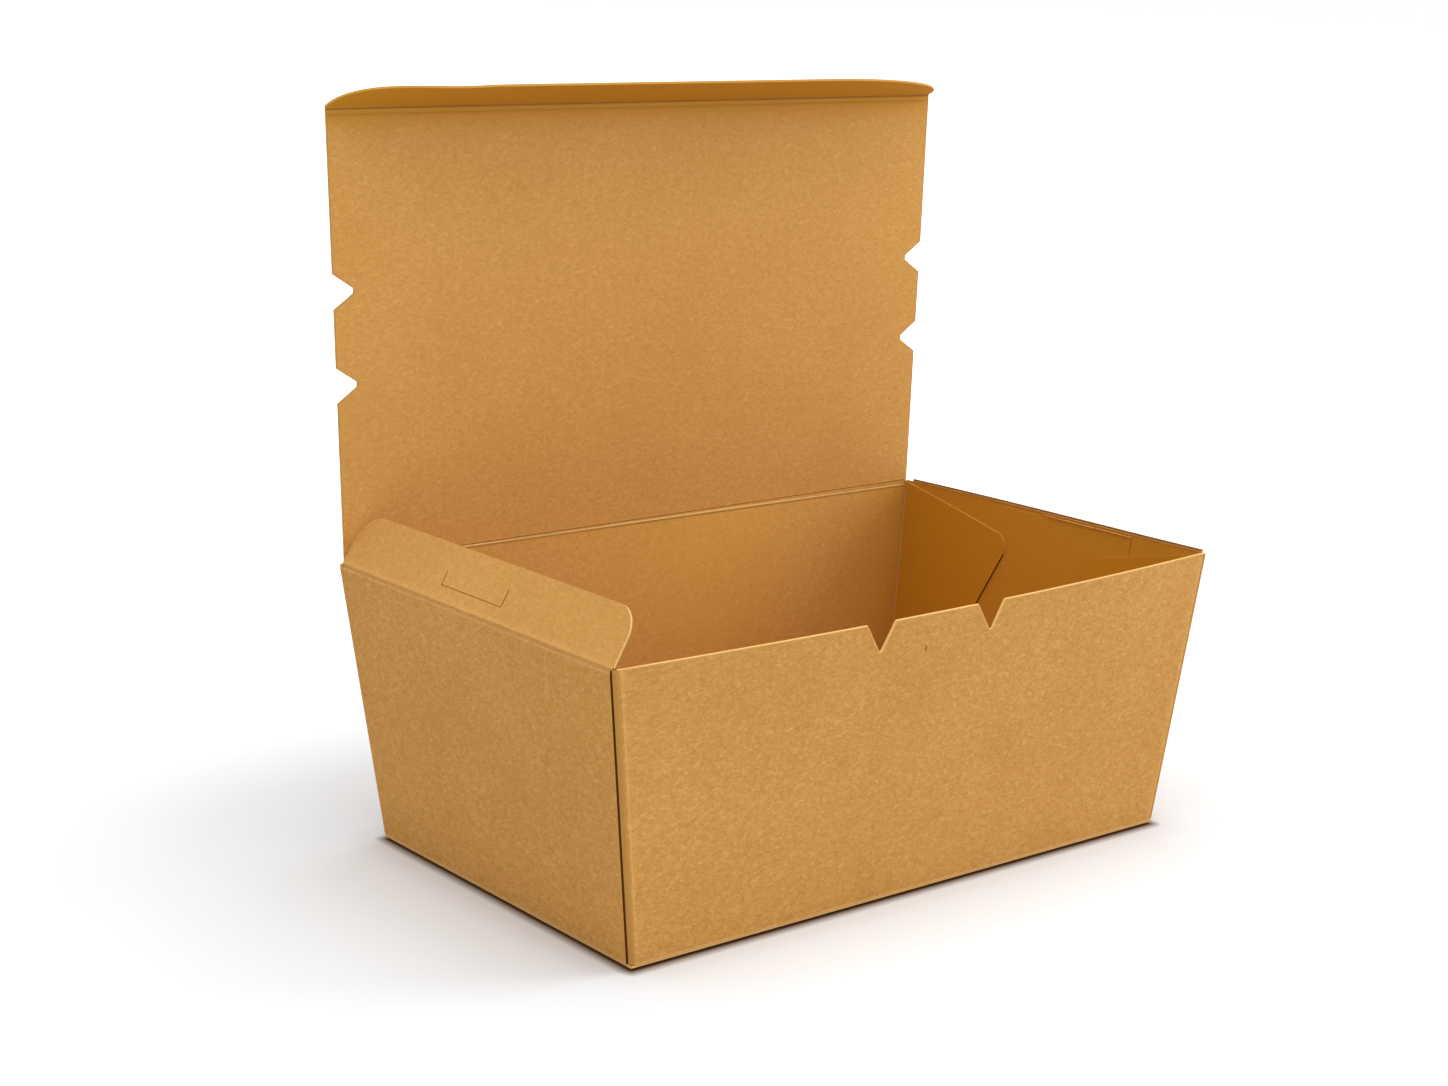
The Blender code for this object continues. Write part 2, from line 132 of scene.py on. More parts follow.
# Pressed lines, pale strips of worn fibre and painted highlight, lines of painted shade, and the rims of cuts
PRESS_WIDTH = 0.00022
PRESS_CUTS = tuple(PRESS_WIDTH * share for share in (-4, -2, -1, -0.4, 0.4, 1, 2, 4))
FOOT_CUTS = PRESS_CUTS[2:-1]
NARROW_CUTS = PRESS_CUTS[2:-2]
NICK_SHADE_OFFSET = 2 * PRESS_WIDTH
PRESS_DEPTH = 0.00016
STRIP_WIDTH = 0.0007
FOOT_PALE_UP = 0.00055
CORNER_PALE_INSET = 0.0010
SOFT_FOLD_DROP = 0.0013
SOFT_FOLD_DEG = 16.0
TOP_SHADE_DROP = 0.00025
TOP_PALE_DROP = 0.0009
TOP_PALE_WIDTH = 2 * PRESS_WIDTH
TOP_LINE_DROP = 0.0017
EDGE_SHADE = 0.00008
LIP = 0.00018
RIM_INSETS = (LIP, 1.6 * LIP)
CREASE_DROPS = (0.0002, 0.0014)
CREASE_OUT = 0.00018
CREASE_SHADE_DROP = 0.0004
DEEP_RUN = 0.0050

# Lid
LID_HALF_HINGE = 0.09915
LID_FLARE = 0.00335
LID_TOP_DROP = 0.0003
LID_NOTCH_DEPTH = 0.0059
LID_NOTCH_OPENING = 0.0091
LID_NOTCH_TIP = 0.0013
LID_TONGUE_ROOT = 0.0242
RIGHT_NOTCHES_DROP = 0.0021
LID_LEAN = 0.0007

# Tuck flap
TUCK_WIDTH = 0.0185
TUCK_RISE_DEG = 17.8
TUCK_LEFT_RUN = 0.0430
TUCK_LEFT_FULLNESS = 1.62
TUCK_RIGHT_RUN = 0.0540
TUCK_RIGHT_FULLNESS = 1.95
TUCK_CURL_DEG = 24.0
TUCK_CURL_RUN = 0.0360
END_STEPS = 24

# Side flaps
FLAP_WIDTH = 0.0147
FLAP_HALF_LENGTH = 0.0594
FLAP_FRONT_RADIUS = 0.0070
FLAP_BACK_RADIUS = 0.0100
FLAP_LEAN_DEG = 60.0
RIGHT_FLAP_TRIM = 0.0016
FOLD_RUN = 0.0024
SLIT_OFFSET = 0.0040
SLIT_ENDS = (-0.0115, 0.0148)
SLIT_FRONT_LEG = 0.0045
SLIT_BACK_LEG = 0.0036
SLIT_WIDTH = 0.00024
SLIT_STEPS = (0.0, EDGE_SHADE, 4 * EDGE_SHADE)
SLIT_LIP = 2 * EDGE_SHADE
FLAP_STRIP_WIDTH = 1.5 * STRIP_WIDTH
FLAP_CUTS = (*(STRIP_WIDTH * share for share in (0.5, 1.0, 2.0)),
             *(FOLD_RUN * share for share in (0.25, 0.5, 0.75, 1.0)))
ARC_STEPS = 10

# Colours of painted shade in slits and gaps and deep inside, of the inner side, and of painted light where
# the walls light each other
CREVICE_SHADE_COLOUR = (0.15, 0.052, 0.004, 1.0)
DEEP_SHADE_COLOUR = (0.52, 0.230, 0.012, 1.0)
INNER_COLOUR = (0.76, 0.400, 0.110, 1.0)
INNER_SHARE = 0.28
PAINTED_BOUNCE_COLOUR = (0.80, 0.440, 0.060, 1.0)
PAINTED_BOUNCE_SHARE = 0.27
BOUNCE_PLACE = 0.3
BOUNCE_WIDTH = 0.45

# Share of the inner colours on cut edges, and of the painted deep shade in each part
EDGE_INNER = 0.8
CORNER_DEEP = 0.7
CORNER_DEEP_POWER = 4
LOW_DEEP = 0.1
GLUE_DEEP = 0.95
GLUE_RIM_DEEP = 0.7
RIGHT_WALL_DEEP = 0.85
BASE_DEEP = 0.5
WALL_LINE_DEEP = 0.45
LID_TOP_DEEP = 0.7
TUCK_DEEP = 0.9
PALE_LEAST = 0.5

# Strength of the pale strips: worn fibre at folds, and painted highlights on lit rims, ridges, pressed lines
# and slit lips
PRESS_HIGHLIGHT = 1.2
TOP_RIM_HIGHLIGHT = 2.0
CORNER_HIGHLIGHT = 0.85
FOOT_HIGHLIGHT = 1.8
WALL_LINE_HIGHLIGHT = 1.6
SOFT_FOLD_HIGHLIGHT = 0.9
PAST_FOLD_LIGHT = 0.3
TOP_PALE_HIGHLIGHT = 0.5
TUCK_FOLD_WEAR_AND_HIGHLIGHT = 0.3
FLAP_FOLD_WEAR_AND_HIGHLIGHT = 0.8
SLIT_LIP_HIGHLIGHT = 0.4

# Strength of the painted shade in slits, presses and shaded lines
NICK_CREVICE = 0.8
BACK_LINE_CREVICE = 0.5
WALL_LINE_CREVICE = 0.8
SIDE_TOP_CREVICE = 0.35
LID_RIM_CREVICE = 0.25
TOP_SHADE_CREVICE = 0.65
TOP_LINE_CREVICE = 0.3
SLIT_CREVICE = 0.8

# Creases: a colour, a share of the cut edge's colour for beads with a painted highlight, and two shares of
# the board's colour for beads in painted shade
INNER_CREASE = (0.60, 0.300, 0.045, 1.0)
HIGHLIT_CREASE = 0.98
DARK_CREASE_SHADE = 0.48
CORNER_CREASE_SHADE = 0.86

# Finishes: shares of the light and the dark tint, then clouds, fibres, flecks, relief and sheen
FACE_FINISH = (1.05, 0.72, 0.16, 0.72, 0.70, 0.45, 0.12)
EDGE_FINISH = (1.2, 0.7, 0.1, 0.35, 0.3, 0.4, 0.1)
CREASE_FINISH = (1.15, 0.8, 0.2, 0.5, 0.5, 0.4, 0.2)
HIGHLIT_FINISH = (1.25, 0.8, 0.15, 0.5, 0.4, 0.4, 0.15)
INNER_FINISH = (1.2, 0.7, 0.2, 0.4, 0.4, 0.4, 0.0)
SHADED_FINISH = (1.2, 0.8, 0.2, 0.4, 0.4, 0.4, 0.1)

# Noises of the kraft surface: scale, detail, stretch, distortion and roughness
CLOUD_NOISE = (38.0, 3.0, (1.0, 1.0, 1.0), 0.0, 0.5)
FIBRE_NOISE = (620.0, 4.0, (1.0, 1.0, 1.6), 1.2, 0.62)
THREAD_NOISE = (900.0, 2.0, (0.35, 1.0, 1.5), 0.8, 0.5)
LIGHT_SPOT_NOISE = (1150.0, 1.0, (1.0, 1.0, 1.5), 1.5, 0.5)
DARK_SPOT_NOISE = (1300.0, 1.0, (1.0, 1.4, 1.0), 1.5, 0.5)

# Ranges in which the noises act, their shares in the relief, and the roughness that they give
SHADE_RANGE = (0.25, 0.75)
LIGHT_SPOT_RANGE = (0.66, 0.74)
DARK_SPOT_RANGE = (0.67, 0.75)
BROKEN_RANGE = (0.42, 0.6)
BROKEN_LEAST = 0.4
THREAD_RELIEF = 0.5
SPOT_RELIEF = 0.4
PALE_RELIEF = 0.2
ROUGH_RANGE = (0.3, 0.7)
ROUGHNESS = (0.86, 0.74)

# Beads of pressed fibre along the creases
BEAD_RADIUS = 0.00038
HINGE_BEAD_RADIUS = 0.00032
BASE_BEAD_RADIUS = 0.00032
CORNER_BEAD_RADIUS = 0.00075
LID_BEAD_RADIUS = 0.00036
FLUSH_BEAD_RADIUS = 0.00034
INNER_BEAD_RADIUS = 0.00024
BEAD_STEP = 0.0012
BEAD_SIDES = 10
BEAD_NOISE_SCALE = 180.0
BEAD_NOISE_DETAIL = 2.0
BEAD_SWELL = (0.05, 0.975)

# Camera
IMAGE_WIDTH = 1448
FOCAL_PIXELS = 2521.93
SENSOR_WIDTH_MM = 36.0
CAMERA_PLACE = (-0.42299, -0.49762, 0.23418)
CAMERA_YAW_DEG = -38.957
CAMERA_PITCH_DEG = 13.302
CAMERA_ROLL_DEG = 1.439
CAMERA_CLIP = (0.01, 50.0)

# Stage
WHITE = (1.0, 1.0, 1.0, 1.0)
FLOOR_HALF = 8.0
FLOOR_CELLS = 8
# Painted shadow under the tray, and the floor's glow: painted light that grows away from the tray
UNDER_SHADOW_COLOUR = (0.19, 0.10, 0.045, 1.0)
FLOOR_RIM = 0.012
FLOOR_NEAR = 0.05
FLOOR_FAR = 0.50
FLOOR_GLOW = 0.08
UNDER_SHADOW_FADE = 0.0032
WORLD_STRENGTH = 0.56
LAMPS = (
    ("right_lamp", (1.8, -0.6, 0.9), 1.2, 20.0),
    ("top_lamp", (0.0, -0.14, 1.8), 1.6, 19.4),
    ("front_lamp", (0.3, -2.4, 0.7), 1.6, 6.4),
    ("left_lamp", (-2.2, -0.3, 1.0), 1.6, 5.9),
)


class TakeawayBoxSizes(bpy.types.PropertyGroup):
    """Sizes of the board that can be changed before the pieces are built."""

    front_bow: bpy.props.FloatProperty(
        name="Front bow", description="How far the front wall's top edge bows out", default=0.0026,
        unit="LENGTH")
    right_bow: bpy.props.FloatProperty(
        name="Right bow", description="How far the right wall's top edge bows out", default=0.0023,
        unit="LENGTH")
    warp: bpy.props.FloatProperty(
        name="Warp", description="Height of the slow waves in the board", default=0.0006, unit="LENGTH")
    warp_scale: bpy.props.FloatProperty(
        name="Warp scale", description="Waves of the board in each metre", default=14.0)
    seed: bpy.props.FloatProperty(name="Seed", description="Choice of the waves", default=3.0)


class TakeawayBoxColours(bpy.types.PropertyGroup):
    """Colours and finish of the board and the floor."""

    board: bpy.props.FloatVectorProperty(
        name="Board", description="Main colour of the kraft board", subtype="COLOR", size=4,
        default=(0.578, 0.281, 0.066, 1.0))
    edge: bpy.props.FloatVectorProperty(
        name="Cut edge", description="Colour of the die-cut edges", subtype="COLOR", size=4,
        default=(0.75, 0.485, 0.18, 1.0))
    # Also the tint of the pale strips, which carry painted highlights
    crease: bpy.props.FloatVectorProperty(
        name="Crease", description="Colour of the stretched fibres at the folds", subtype="COLOR", size=4,
        default=(0.69, 0.39, 0.135, 1.0))
    floor: bpy.props.FloatVectorProperty(
        name="Floor", description="Colour of the floor", subtype="COLOR", size=4,
        default=(0.775, 0.80, 0.825, 1.0))


def sizes():
    """The sizes that the user has set."""
    return bpy.context.scene.takeaway_box_sizes


def colours():
    """The colours that the user has set."""
    return bpy.context.scene.takeaway_box_colours


def add_node(tree, kind, links=None, **settings):
    """A node with its settings, and its inputs set by name: a socket is linked, a value is stored."""
    node = tree.nodes.new(kind)
    for key, value in settings.items():
        setattr(node, key, value)
    for name, value in (links or {}).items():
        socket = node.inputs[name]
        if isinstance(value, bpy.types.NodeSocket):
            tree.links.new(value, socket)
        else:
            socket.default_value = value
    return node


def new_tree(name, kind, inputs, outputs):
    """A node group with named sockets, and its input and output nodes."""
    tree = bpy.data.node_groups.new(name, kind)
    for in_out, rows in (("INPUT", inputs), ("OUTPUT", outputs)):
        for label, socket_type in rows:
            tree.interface.new_socket(name=label, in_out=in_out, socket_type=socket_type)
    return tree, tree.nodes.new("NodeGroupInput").outputs, tree.nodes.new("NodeGroupOutput").inputs


def vector_node(tree, operation, first, second=(0.0, 0.0, 0.0)):
    """One sum of the Vector Math node."""
    return add_node(tree, "ShaderNodeVectorMath", {0: first, 1: second}, operation=operation)


def math_node(tree, operation, first, second=0.0, third=0.0):
    """One sum of the Math node."""
    return add_node(tree, "ShaderNodeMath", {0: first, 1: second, 2: third}, operation=operation).outputs[0]


def map_range(tree, value, low, high, to_low=0.0, to_high=1.0):
    """A value moved from one range to another and kept inside it."""
    return add_node(
        tree, "ShaderNodeMapRange",
        {"Value": value, "From Min": low, "From Max": high, "To Min": to_low, "To Max": to_high}).outputs[0]


def mix_colours(tree, factor, first, second):
    """A mix of two colours."""
    return add_node(tree, "ShaderNodeMix", {0: factor, 6: first, 7: second}, data_type="RGBA").outputs[2]


def build_board_tree():
    """The tree that warps a folded sheet a little and gives it the board's thickness."""
    tree, given, result = new_tree(
        "board_sheet", "GeometryNodeTree",
        [("Geometry", "NodeSocketGeometry"), ("Thickness", "NodeSocketFloat"), ("Warp", "NodeSocketFloat"),
         ("Warp Scale", "NodeSocketFloat"), ("Seed", "NodeSocketFloat"), ("Board", "NodeSocketMaterial"),
         ("Edge", "NodeSocketMaterial")],
        [("Geometry", "NodeSocketGeometry")])
    tree.is_modifier = True
    normal = add_node(tree, "GeometryNodeInputNormal").outputs["Normal"]
    slack = add_node(
        tree, "GeometryNodeInputNamedAttribute", {"Name": "slack"}, data_type="FLOAT").outputs["Attribute"]
    waves = add_node(
        tree, "ShaderNodeTexNoise", {"W": given["Seed"], "Scale": given["Warp Scale"], "Detail": 1.0},
        noise_dimensions="4D").outputs[0]
    height = math_node(tree, "MULTIPLY", math_node(tree, "SUBTRACT", waves, 0.5), given["Warp"])
    height = math_node(tree, "MULTIPLY", height, slack)
    lowered = math_node(tree, "SUBTRACT", height, math_node(tree, "MULTIPLY", given["Thickness"], 0.5))
    offset = add_node(
        tree, "ShaderNodeVectorMath", {"Vector": normal, "Scale": lowered}, operation="SCALE").outputs[0]
    under = add_node(
        tree, "GeometryNodeSetPosition", {"Geometry": given["Geometry"], "Offset": offset}).outputs[0]
    raised = add_node(
        tree, "GeometryNodeExtrudeMesh",
        {"Mesh": under, "Offset": normal, "Offset Scale": given["Thickness"], "Individual": False},
        mode="FACES")
    flipped = add_node(tree, "GeometryNodeFlipFaces", {"Mesh": under}).outputs[0]
    flipped = add_node(
        tree, "GeometryNodeStoreNamedAttribute", {"Geometry": flipped, "Name": "inner", "Value": 1.0},
        data_type="FLOAT", domain="FACE").outputs[0]
    edges = add_node(
        tree, "GeometryNodeStoreNamedAttribute",
        {"Geometry": raised.outputs["Mesh"], "Selection": raised.outputs["Side"], "Name": "inner",
         "Value": EDGE_INNER}, data_type="FLOAT", domain="FACE").outputs[0]
    joined = add_node(tree, "GeometryNodeJoinGeometry")
    tree.links.new(edges, joined.inputs[0])
    tree.links.new(flipped, joined.inputs[0])
    closed = add_node(
        tree, "GeometryNodeMergeByDistance",
        {"Geometry": joined.outputs[0], "Distance": CLOSING_DISTANCE}).outputs[0]
    real = add_node(tree, "GeometryNodeRealizeInstances", {"Geometry": closed}).outputs[0]
    covered = add_node(
        tree, "GeometryNodeSetMaterial", {"Geometry": real, "Material": given["Board"]}).outputs[0]
    edged = add_node(
        tree, "GeometryNodeSetMaterial",
        {"Geometry": covered, "Selection": raised.outputs["Side"], "Material": given["Edge"]}).outputs[0]
    tree.links.new(edged, result["Geometry"])
    return tree


def build_bead_tree():
    """The tree that runs an uneven round bead of pressed fibre along each line of a crease."""
    tree, given, result = new_tree(
        "crease_bead", "GeometryNodeTree",
        [("Geometry", "NodeSocketGeometry"), ("Radius", "NodeSocketFloat"), ("Step", "NodeSocketFloat"),
         ("Sides", "NodeSocketInt"), ("Seed", "NodeSocketFloat"), ("Crease", "NodeSocketMaterial")],
        [("Geometry", "NodeSocketGeometry")])
    tree.is_modifier = True
    line = add_node(tree, "GeometryNodeMeshToCurve", {"Mesh": given["Geometry"]}).outputs[0]
    line = add_node(
        tree, "GeometryNodeResampleCurve", {"Curve": line, "Length": given["Step"]}, mode="LENGTH").outputs[0]
    uneven = add_node(
        tree, "ShaderNodeTexNoise",
        {"W": given["Seed"], "Scale": BEAD_NOISE_SCALE, "Detail": BEAD_NOISE_DETAIL},
        noise_dimensions="4D").outputs[0]
    swell = math_node(tree, "MULTIPLY_ADD", uneven, *BEAD_SWELL)
    line = add_node(tree, "GeometryNodeSetCurveRadius", {"Curve": line, "Radius": swell}).outputs[0]
    profile = add_node(
        tree, "GeometryNodeCurvePrimitiveCircle",
        {"Resolution": given["Sides"], "Radius": given["Radius"]}).outputs[0]
    bead = add_node(
        tree, "GeometryNodeCurveToMesh", {"Curve": line, "Profile Curve": profile, "Fill Caps": True})
    if "Scale" in bead.inputs:
        tree.links.new(swell, bead.inputs["Scale"])
    real = add_node(tree, "GeometryNodeRealizeInstances", {"Geometry": bead.outputs[0]}).outputs[0]
    covered = add_node(
        tree, "GeometryNodeSetMaterial", {"Geometry": real, "Material": given["Crease"]}).outputs[0]
    tree.links.new(covered, result["Geometry"])
    return tree


def tree_result(name, mesh, tree, values):
    """A plain object with the mesh that a node tree makes of another mesh."""
    source = bpy.data.objects.new(name + "_source", mesh)
    bpy.context.scene.collection.objects.link(source)
    modifier = source.modifiers.new("nodes", "NODES")
    modifier.node_group = tree
    for socket in tree.interface.items_tree:
        if socket.in_out == "INPUT" and socket.name in values:
            modifier[socket.identifier] = values[socket.name]
    bpy.context.view_layer.update()
    graph = bpy.context.evaluated_depsgraph_get()
    made = bpy.data.meshes.new_from_object(source.evaluated_get(graph))
    made.name = name
    bpy.data.objects.remove(source, do_unlink=True)
    piece = bpy.data.objects.new(name, made)
    bpy.context.scene.collection.objects.link(piece)
    made.shade_smooth()
    made.set_sharp_from_angle(angle=math.radians(SHARP_DEG))
    return piece


def board_piece(name, shape, slack, wear_and_highlight, body, node, crevice_shade, shade_and_bounce=None, fold=None):
    """The finished board of one node, from its middle surface, attached to its body unless a fold is given.
    """
    mesh = bpy.data.meshes.new(name + "_middle")
    shape.to_mesh(mesh)
    shape.free()
    for label, values in (("slack", slack), ("wear_and_highlight", wear_and_highlight), ("crevice_shade", crevice_shade), ("shade_and_bounce", shade_and_bounce)):
        if values is not None:
            marks = mesh.attributes.new(label, "FLOAT", "POINT").data
            marks.foreach_set("value", np.asarray(values, np.float32))
    chosen = sizes()
    piece = tree_result(name, mesh, tree_named("board_sheet", build_board_tree), {
        "Thickness": BOARD, "Warp": chosen.warp, "Warp Scale": chosen.warp_scale, "Seed": chosen.seed,
        "Board": kraft_material(), "Edge": edge_material()})
    if fold:
        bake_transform(piece)
    else:
        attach(piece, body)
    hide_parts(node)


def bead_piece(name, lines, radius, body, material=None):
    """Beads along the creases of one body, as one piece."""
    shape = bmesh.new()
    for start, end in lines:
        shape.edges.new((shape.verts.new(start), shape.verts.new(end)))
    mesh = bpy.data.meshes.new(name + "_lines")
    shape.to_mesh(mesh)
    shape.free()
    piece = tree_result(name, mesh, tree_named("crease_bead", build_bead_tree), {
        "Radius": radius, "Step": BEAD_STEP, "Sides": BEAD_SIDES, "Seed": sizes().seed,
        "Crease": material or crease_material()})
    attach(piece, body)


def tree_named(name, build):
    """A node group, built once."""
    return bpy.data.node_groups.get(name) or build()


def build_kraft_group():
    """Shader group of the board's surface: clouds, short fibres, light and dark flecks, pale worn fibre and
    painted highlights, the inner tint, and painted shade and bounce light.
    """
    tree, given, result = new_tree(
        "kraft_surface", "ShaderNodeTree",
        [("Colour", "NodeSocketColor"), ("Light", "NodeSocketColor"), ("Dark", "NodeSocketColor"),
         ("Cloud", "NodeSocketFloat"), ("Fibre", "NodeSocketFloat"), ("Fleck", "NodeSocketFloat"),
         ("Wear_And_Highlight", "NodeSocketFloat"), ("Crevice_Shade", "NodeSocketFloat"), ("Inner", "NodeSocketFloat"),
         ("Shade_And_Bounce", "NodeSocketFloat")],
        [("Colour", "NodeSocketColor"), ("Height", "NodeSocketFloat"), ("Roughness", "NodeSocketFloat")])
    place = add_node(tree, "ShaderNodeTexCoord").outputs["Object"]

    def noise(scale, detail, stretch, distortion, roughness):
        spread = add_node(tree, "ShaderNodeMapping", {"Vector": place, "Scale": stretch}).outputs[0]
        return add_node(
            tree, "ShaderNodeTexNoise",
            {"Vector": spread, "Scale": scale, "Detail": detail, "Roughness": roughness,
             "Distortion": distortion}).outputs[0]

    def times(first, second):
        return math_node(tree, "MULTIPLY", first, second)

    cloud = noise(*CLOUD_NOISE)
    fibre = noise(*FIBRE_NOISE)
    thread = noise(*THREAD_NOISE)
    light_spot = map_range(tree, noise(*LIGHT_SPOT_NOISE), *LIGHT_SPOT_RANGE)
    dark_spot = map_range(tree, noise(*DARK_SPOT_NOISE), *DARK_SPOT_RANGE)
    fibrous = times(map_range(tree, fibre, *SHADE_RANGE, -1.0, 1.0), given["Fibre"])
    cloudy = map_range(tree, cloud, *SHADE_RANGE, -1.0, 1.0)
    shade = math_node(tree, "MULTIPLY_ADD", cloudy, given["Cloud"], fibrous)
    broken = map_range(tree, thread, *BROKEN_RANGE, BROKEN_LEAST, 1.0)
    worn_and_highlit = math_node(tree, "MINIMUM", times(given["Wear_And_Highlight"], broken), 1.0)
    depth = times(given["Inner"], given["Shade_And_Bounce"])
    colour = given["Colour"]
    # Random tone and flecks, then pale strips of worn fibre and painted highlight, the inner tint, painted
    # bounce light, painted deep shade and painted shade in crevices
    for factor, tint in (
            (math_node(tree, "MAXIMUM", shade, 0.0), given["Light"]),
            (math_node(tree, "MAXIMUM", times(shade, -1.0), 0.0), given["Dark"]),
            (times(light_spot, given["Fleck"]), given["Light"]),
            (times(dark_spot, given["Fleck"]), given["Dark"]),
            (worn_and_highlit, given["Light"]),
            (times(given["Inner"], INNER_SHARE), INNER_COLOUR),
            (times(depth, -1.0), PAINTED_BOUNCE_COLOUR),
            (depth, DEEP_SHADE_COLOUR),
            (given["Crevice_Shade"], CREVICE_SHADE_COLOUR)):
        colour = mix_colours(tree, factor, colour, tint)
    tree.links.new(colour, result["Colour"])
    height = math_node(tree, "MULTIPLY_ADD", thread, THREAD_RELIEF, fibre)
    height = math_node(tree, "MULTIPLY_ADD", light_spot, SPOT_RELIEF, height)
    tree.links.new(math_node(tree, "MULTIPLY_ADD", worn_and_highlit, PALE_RELIEF, height), result["Height"])
    tree.links.new(map_range(tree, fibre, *ROUGH_RANGE, *ROUGHNESS), result["Roughness"])
    return tree


def surface_material(name, colour, light, dark, finish):
    """A board material: the kraft group's colour, relief and roughness in a Principled shader."""
    found = bpy.data.materials.get(name)
    if found:
        return found
    material = bpy.data.materials.new(name)
    material.use_nodes = True
    tree = material.node_tree
    shader = tree.nodes["Principled BSDF"]
    light_share, dark_share, cloud, fibre, fleck, bump, specular = finish
    surface = add_node(
        tree, "ShaderNodeGroup",
        {"Colour": colour, "Light": shaded(light, light_share), "Dark": shaded(dark, dark_share),
         "Cloud": cloud, "Fibre": fibre, "Fleck": fleck},
        node_tree=tree_named("kraft_surface", build_kraft_group))
    for label in ("Wear_And_Highlight", "Crevice_Shade", "Inner", "Shade_And_Bounce"):
        mask = add_node(tree, "ShaderNodeAttribute", attribute_name=label.lower()).outputs["Fac"]
        tree.links.new(mask, surface.inputs[label])
    relief = add_node(
        tree, "ShaderNodeBump",
        {"Strength": bump, "Distance": RELIEF_DISTANCE, "Height": surface.outputs["Height"]})
    tree.links.new(surface.outputs["Colour"], shader.inputs["Base Color"])
    tree.links.new(surface.outputs["Roughness"], shader.inputs["Roughness"])
    tree.links.new(relief.outputs["Normal"], shader.inputs["Normal"])
    shader.inputs["Specular IOR Level"].default_value = specular
    return material


def shaded(colour, factor):
    """A colour made lighter or darker."""
    return (*(min(part * factor, 1.0) for part in colour[:3]), 1.0)


def kraft_material():
    """The board's faces."""
    board = colours().board
    return surface_material("kraft_face", board, colours().crease, board, FACE_FINISH)


def edge_material():
    """The die-cut edges, paler than the faces: pale inner fibre with a painted highlight."""
    edge = colours().edge
    return surface_material("kraft_cut_edge", edge, edge, edge, EDGE_FINISH)


def crease_material():
    """The beads along the folds, lightened by stretched fibre."""
    board = colours().board
    return surface_material("kraft_crease", board, colours().crease, board, CREASE_FINISH)


def highlit_crease_material():
    """The beads of the sharpest folds, paler still: stretched fibre with a painted highlight."""
    crease = shaded(colours().edge, HIGHLIT_CREASE)
    return surface_material("kraft_highlit_crease", crease, crease, crease, HIGHLIT_FINISH)


def inner_crease_material():
    """The beads on the inner side of the folds."""
    return surface_material("kraft_inner_crease", INNER_CREASE, INNER_CREASE, INNER_CREASE, INNER_FINISH)


def shaded_crease_material(name, factor):
    """Beads of a fold that lies in its own shade, darkened by a factor: painted shade."""
    crease = shaded(colours().board, factor)
    return surface_material(name, crease, crease, crease, SHADED_FINISH)


def fold_past(points, foot, along, across, toward, angle, radius=BEND_RADIUS):
    """Points of a flat sheet, turned past a crease through foot by an angle, with a round bend."""
    foot, along, across, toward = (np.asarray(v, float) for v in (foot, along, across, toward))
    reach = radius * math.tan(angle / 2)
    offset = np.asarray(points, float) - foot
    run, out, rise = offset @ along, offset @ across, offset @ toward
    turn = np.clip((out + reach) / (2 * reach), 0.0, 1.0) * angle
    arc_out = -reach + (radius - rise) * np.sin(turn)
    arc_rise = radius - (radius - rise) * np.cos(turn)
    far_out = out * math.cos(angle) - rise * math.sin(angle)
    far_rise = out * math.sin(angle) + rise * math.cos(angle)
    before, after = out <= -reach, out >= reach
    new_out = np.where(before, out, np.where(after, far_out, arc_out))
    new_rise = np.where(before, rise, np.where(after, far_rise, arc_rise))
    return foot + np.outer(run, along) + np.outer(new_out, across) + np.outer(new_rise, toward)


def bend_offsets(angle, radius=BEND_RADIUS):
    """Distances from a crease at which its round bend is divided."""
    reach = radius * math.tan(angle / 2)
    return [reach * (2 * step / BEND_CUTS - 1) for step in range(BEND_CUTS + 1)]


def cuts_along(places):
    """Cuts across a sheet at places along it."""
    return [((place, 0.0), (1.0, 0.0)) for place in places]


def cuts_out(places):
    """Cuts along a sheet at places across it."""
    return [((0.0, place), (0.0, 1.0)) for place in places]


def evenly(low, high):
    """Places spaced evenly from the middle outward."""
    return [GRID * step for step in range(math.ceil(low / GRID), math.floor(high / GRID) + 1)]


def grid_cuts(low_a, high_a, low_b, high_b):
    """An even grid of cuts over a sheet."""
    return cuts_along(evenly(low_a, high_a)) + cuts_out(evenly(low_b, high_b))


def flat_sheet(outline, cuts, holes=()):
    """A flat sheet of the outline, divided along straight cuts, without what lies in the holes."""
    shape = bmesh.new()
    shape.faces.new([shape.verts.new((a, b, 0.0)) for a, b in outline])
    for (a, b), (normal_a, normal_b) in cuts:
        everything = shape.verts[:] + shape.edges[:] + shape.faces[:]
        bmesh.ops.bisect_plane(
            shape, geom=everything, plane_co=(a, b, 0.0), plane_no=(normal_a, normal_b, 0.0),
            dist=CUT_DISTANCE)
    lost = []
    for face in shape.faces:
        centre = face.calc_center_median()
        if any(low_a < centre.x < high_a and low_b < centre.y < high_b
               for low_a, high_a, low_b, high_b in holes):
            lost.append(face)
    bmesh.ops.delete(shape, geom=lost, context="FACES")
    return shape


def points_of(shape):
    """The places of a sheet's vertices."""
    return np.array([vertex.co[:] for vertex in shape.verts])


def move_points(shape, points):
    """Put a sheet's vertices at new places."""
    for vertex, point in zip(shape.verts, points):
        vertex.co = point


def fading(distance, width):
    """1 at no distance, and smoothly less within about a width."""
    return np.exp(-((distance / width) ** 2))


def line_distance(flat, start, end):
    """How far a sheet's points lie from a straight line."""
    start, end = np.asarray(start, float), np.asarray(end, float)
    run = end - start
    share = np.clip(((flat[:, :2] - start) @ run) / (run @ run), 0.0, 1.0)
    return np.linalg.norm(flat[:, :2] - start - np.outer(share, run), axis=1)


def line_weight(flat, start, end):
    """How close a sheet's points lie to a pressed line, from 0 far away to 1 on it."""
    return fading(line_distance(flat, start, end), PRESS_WIDTH)


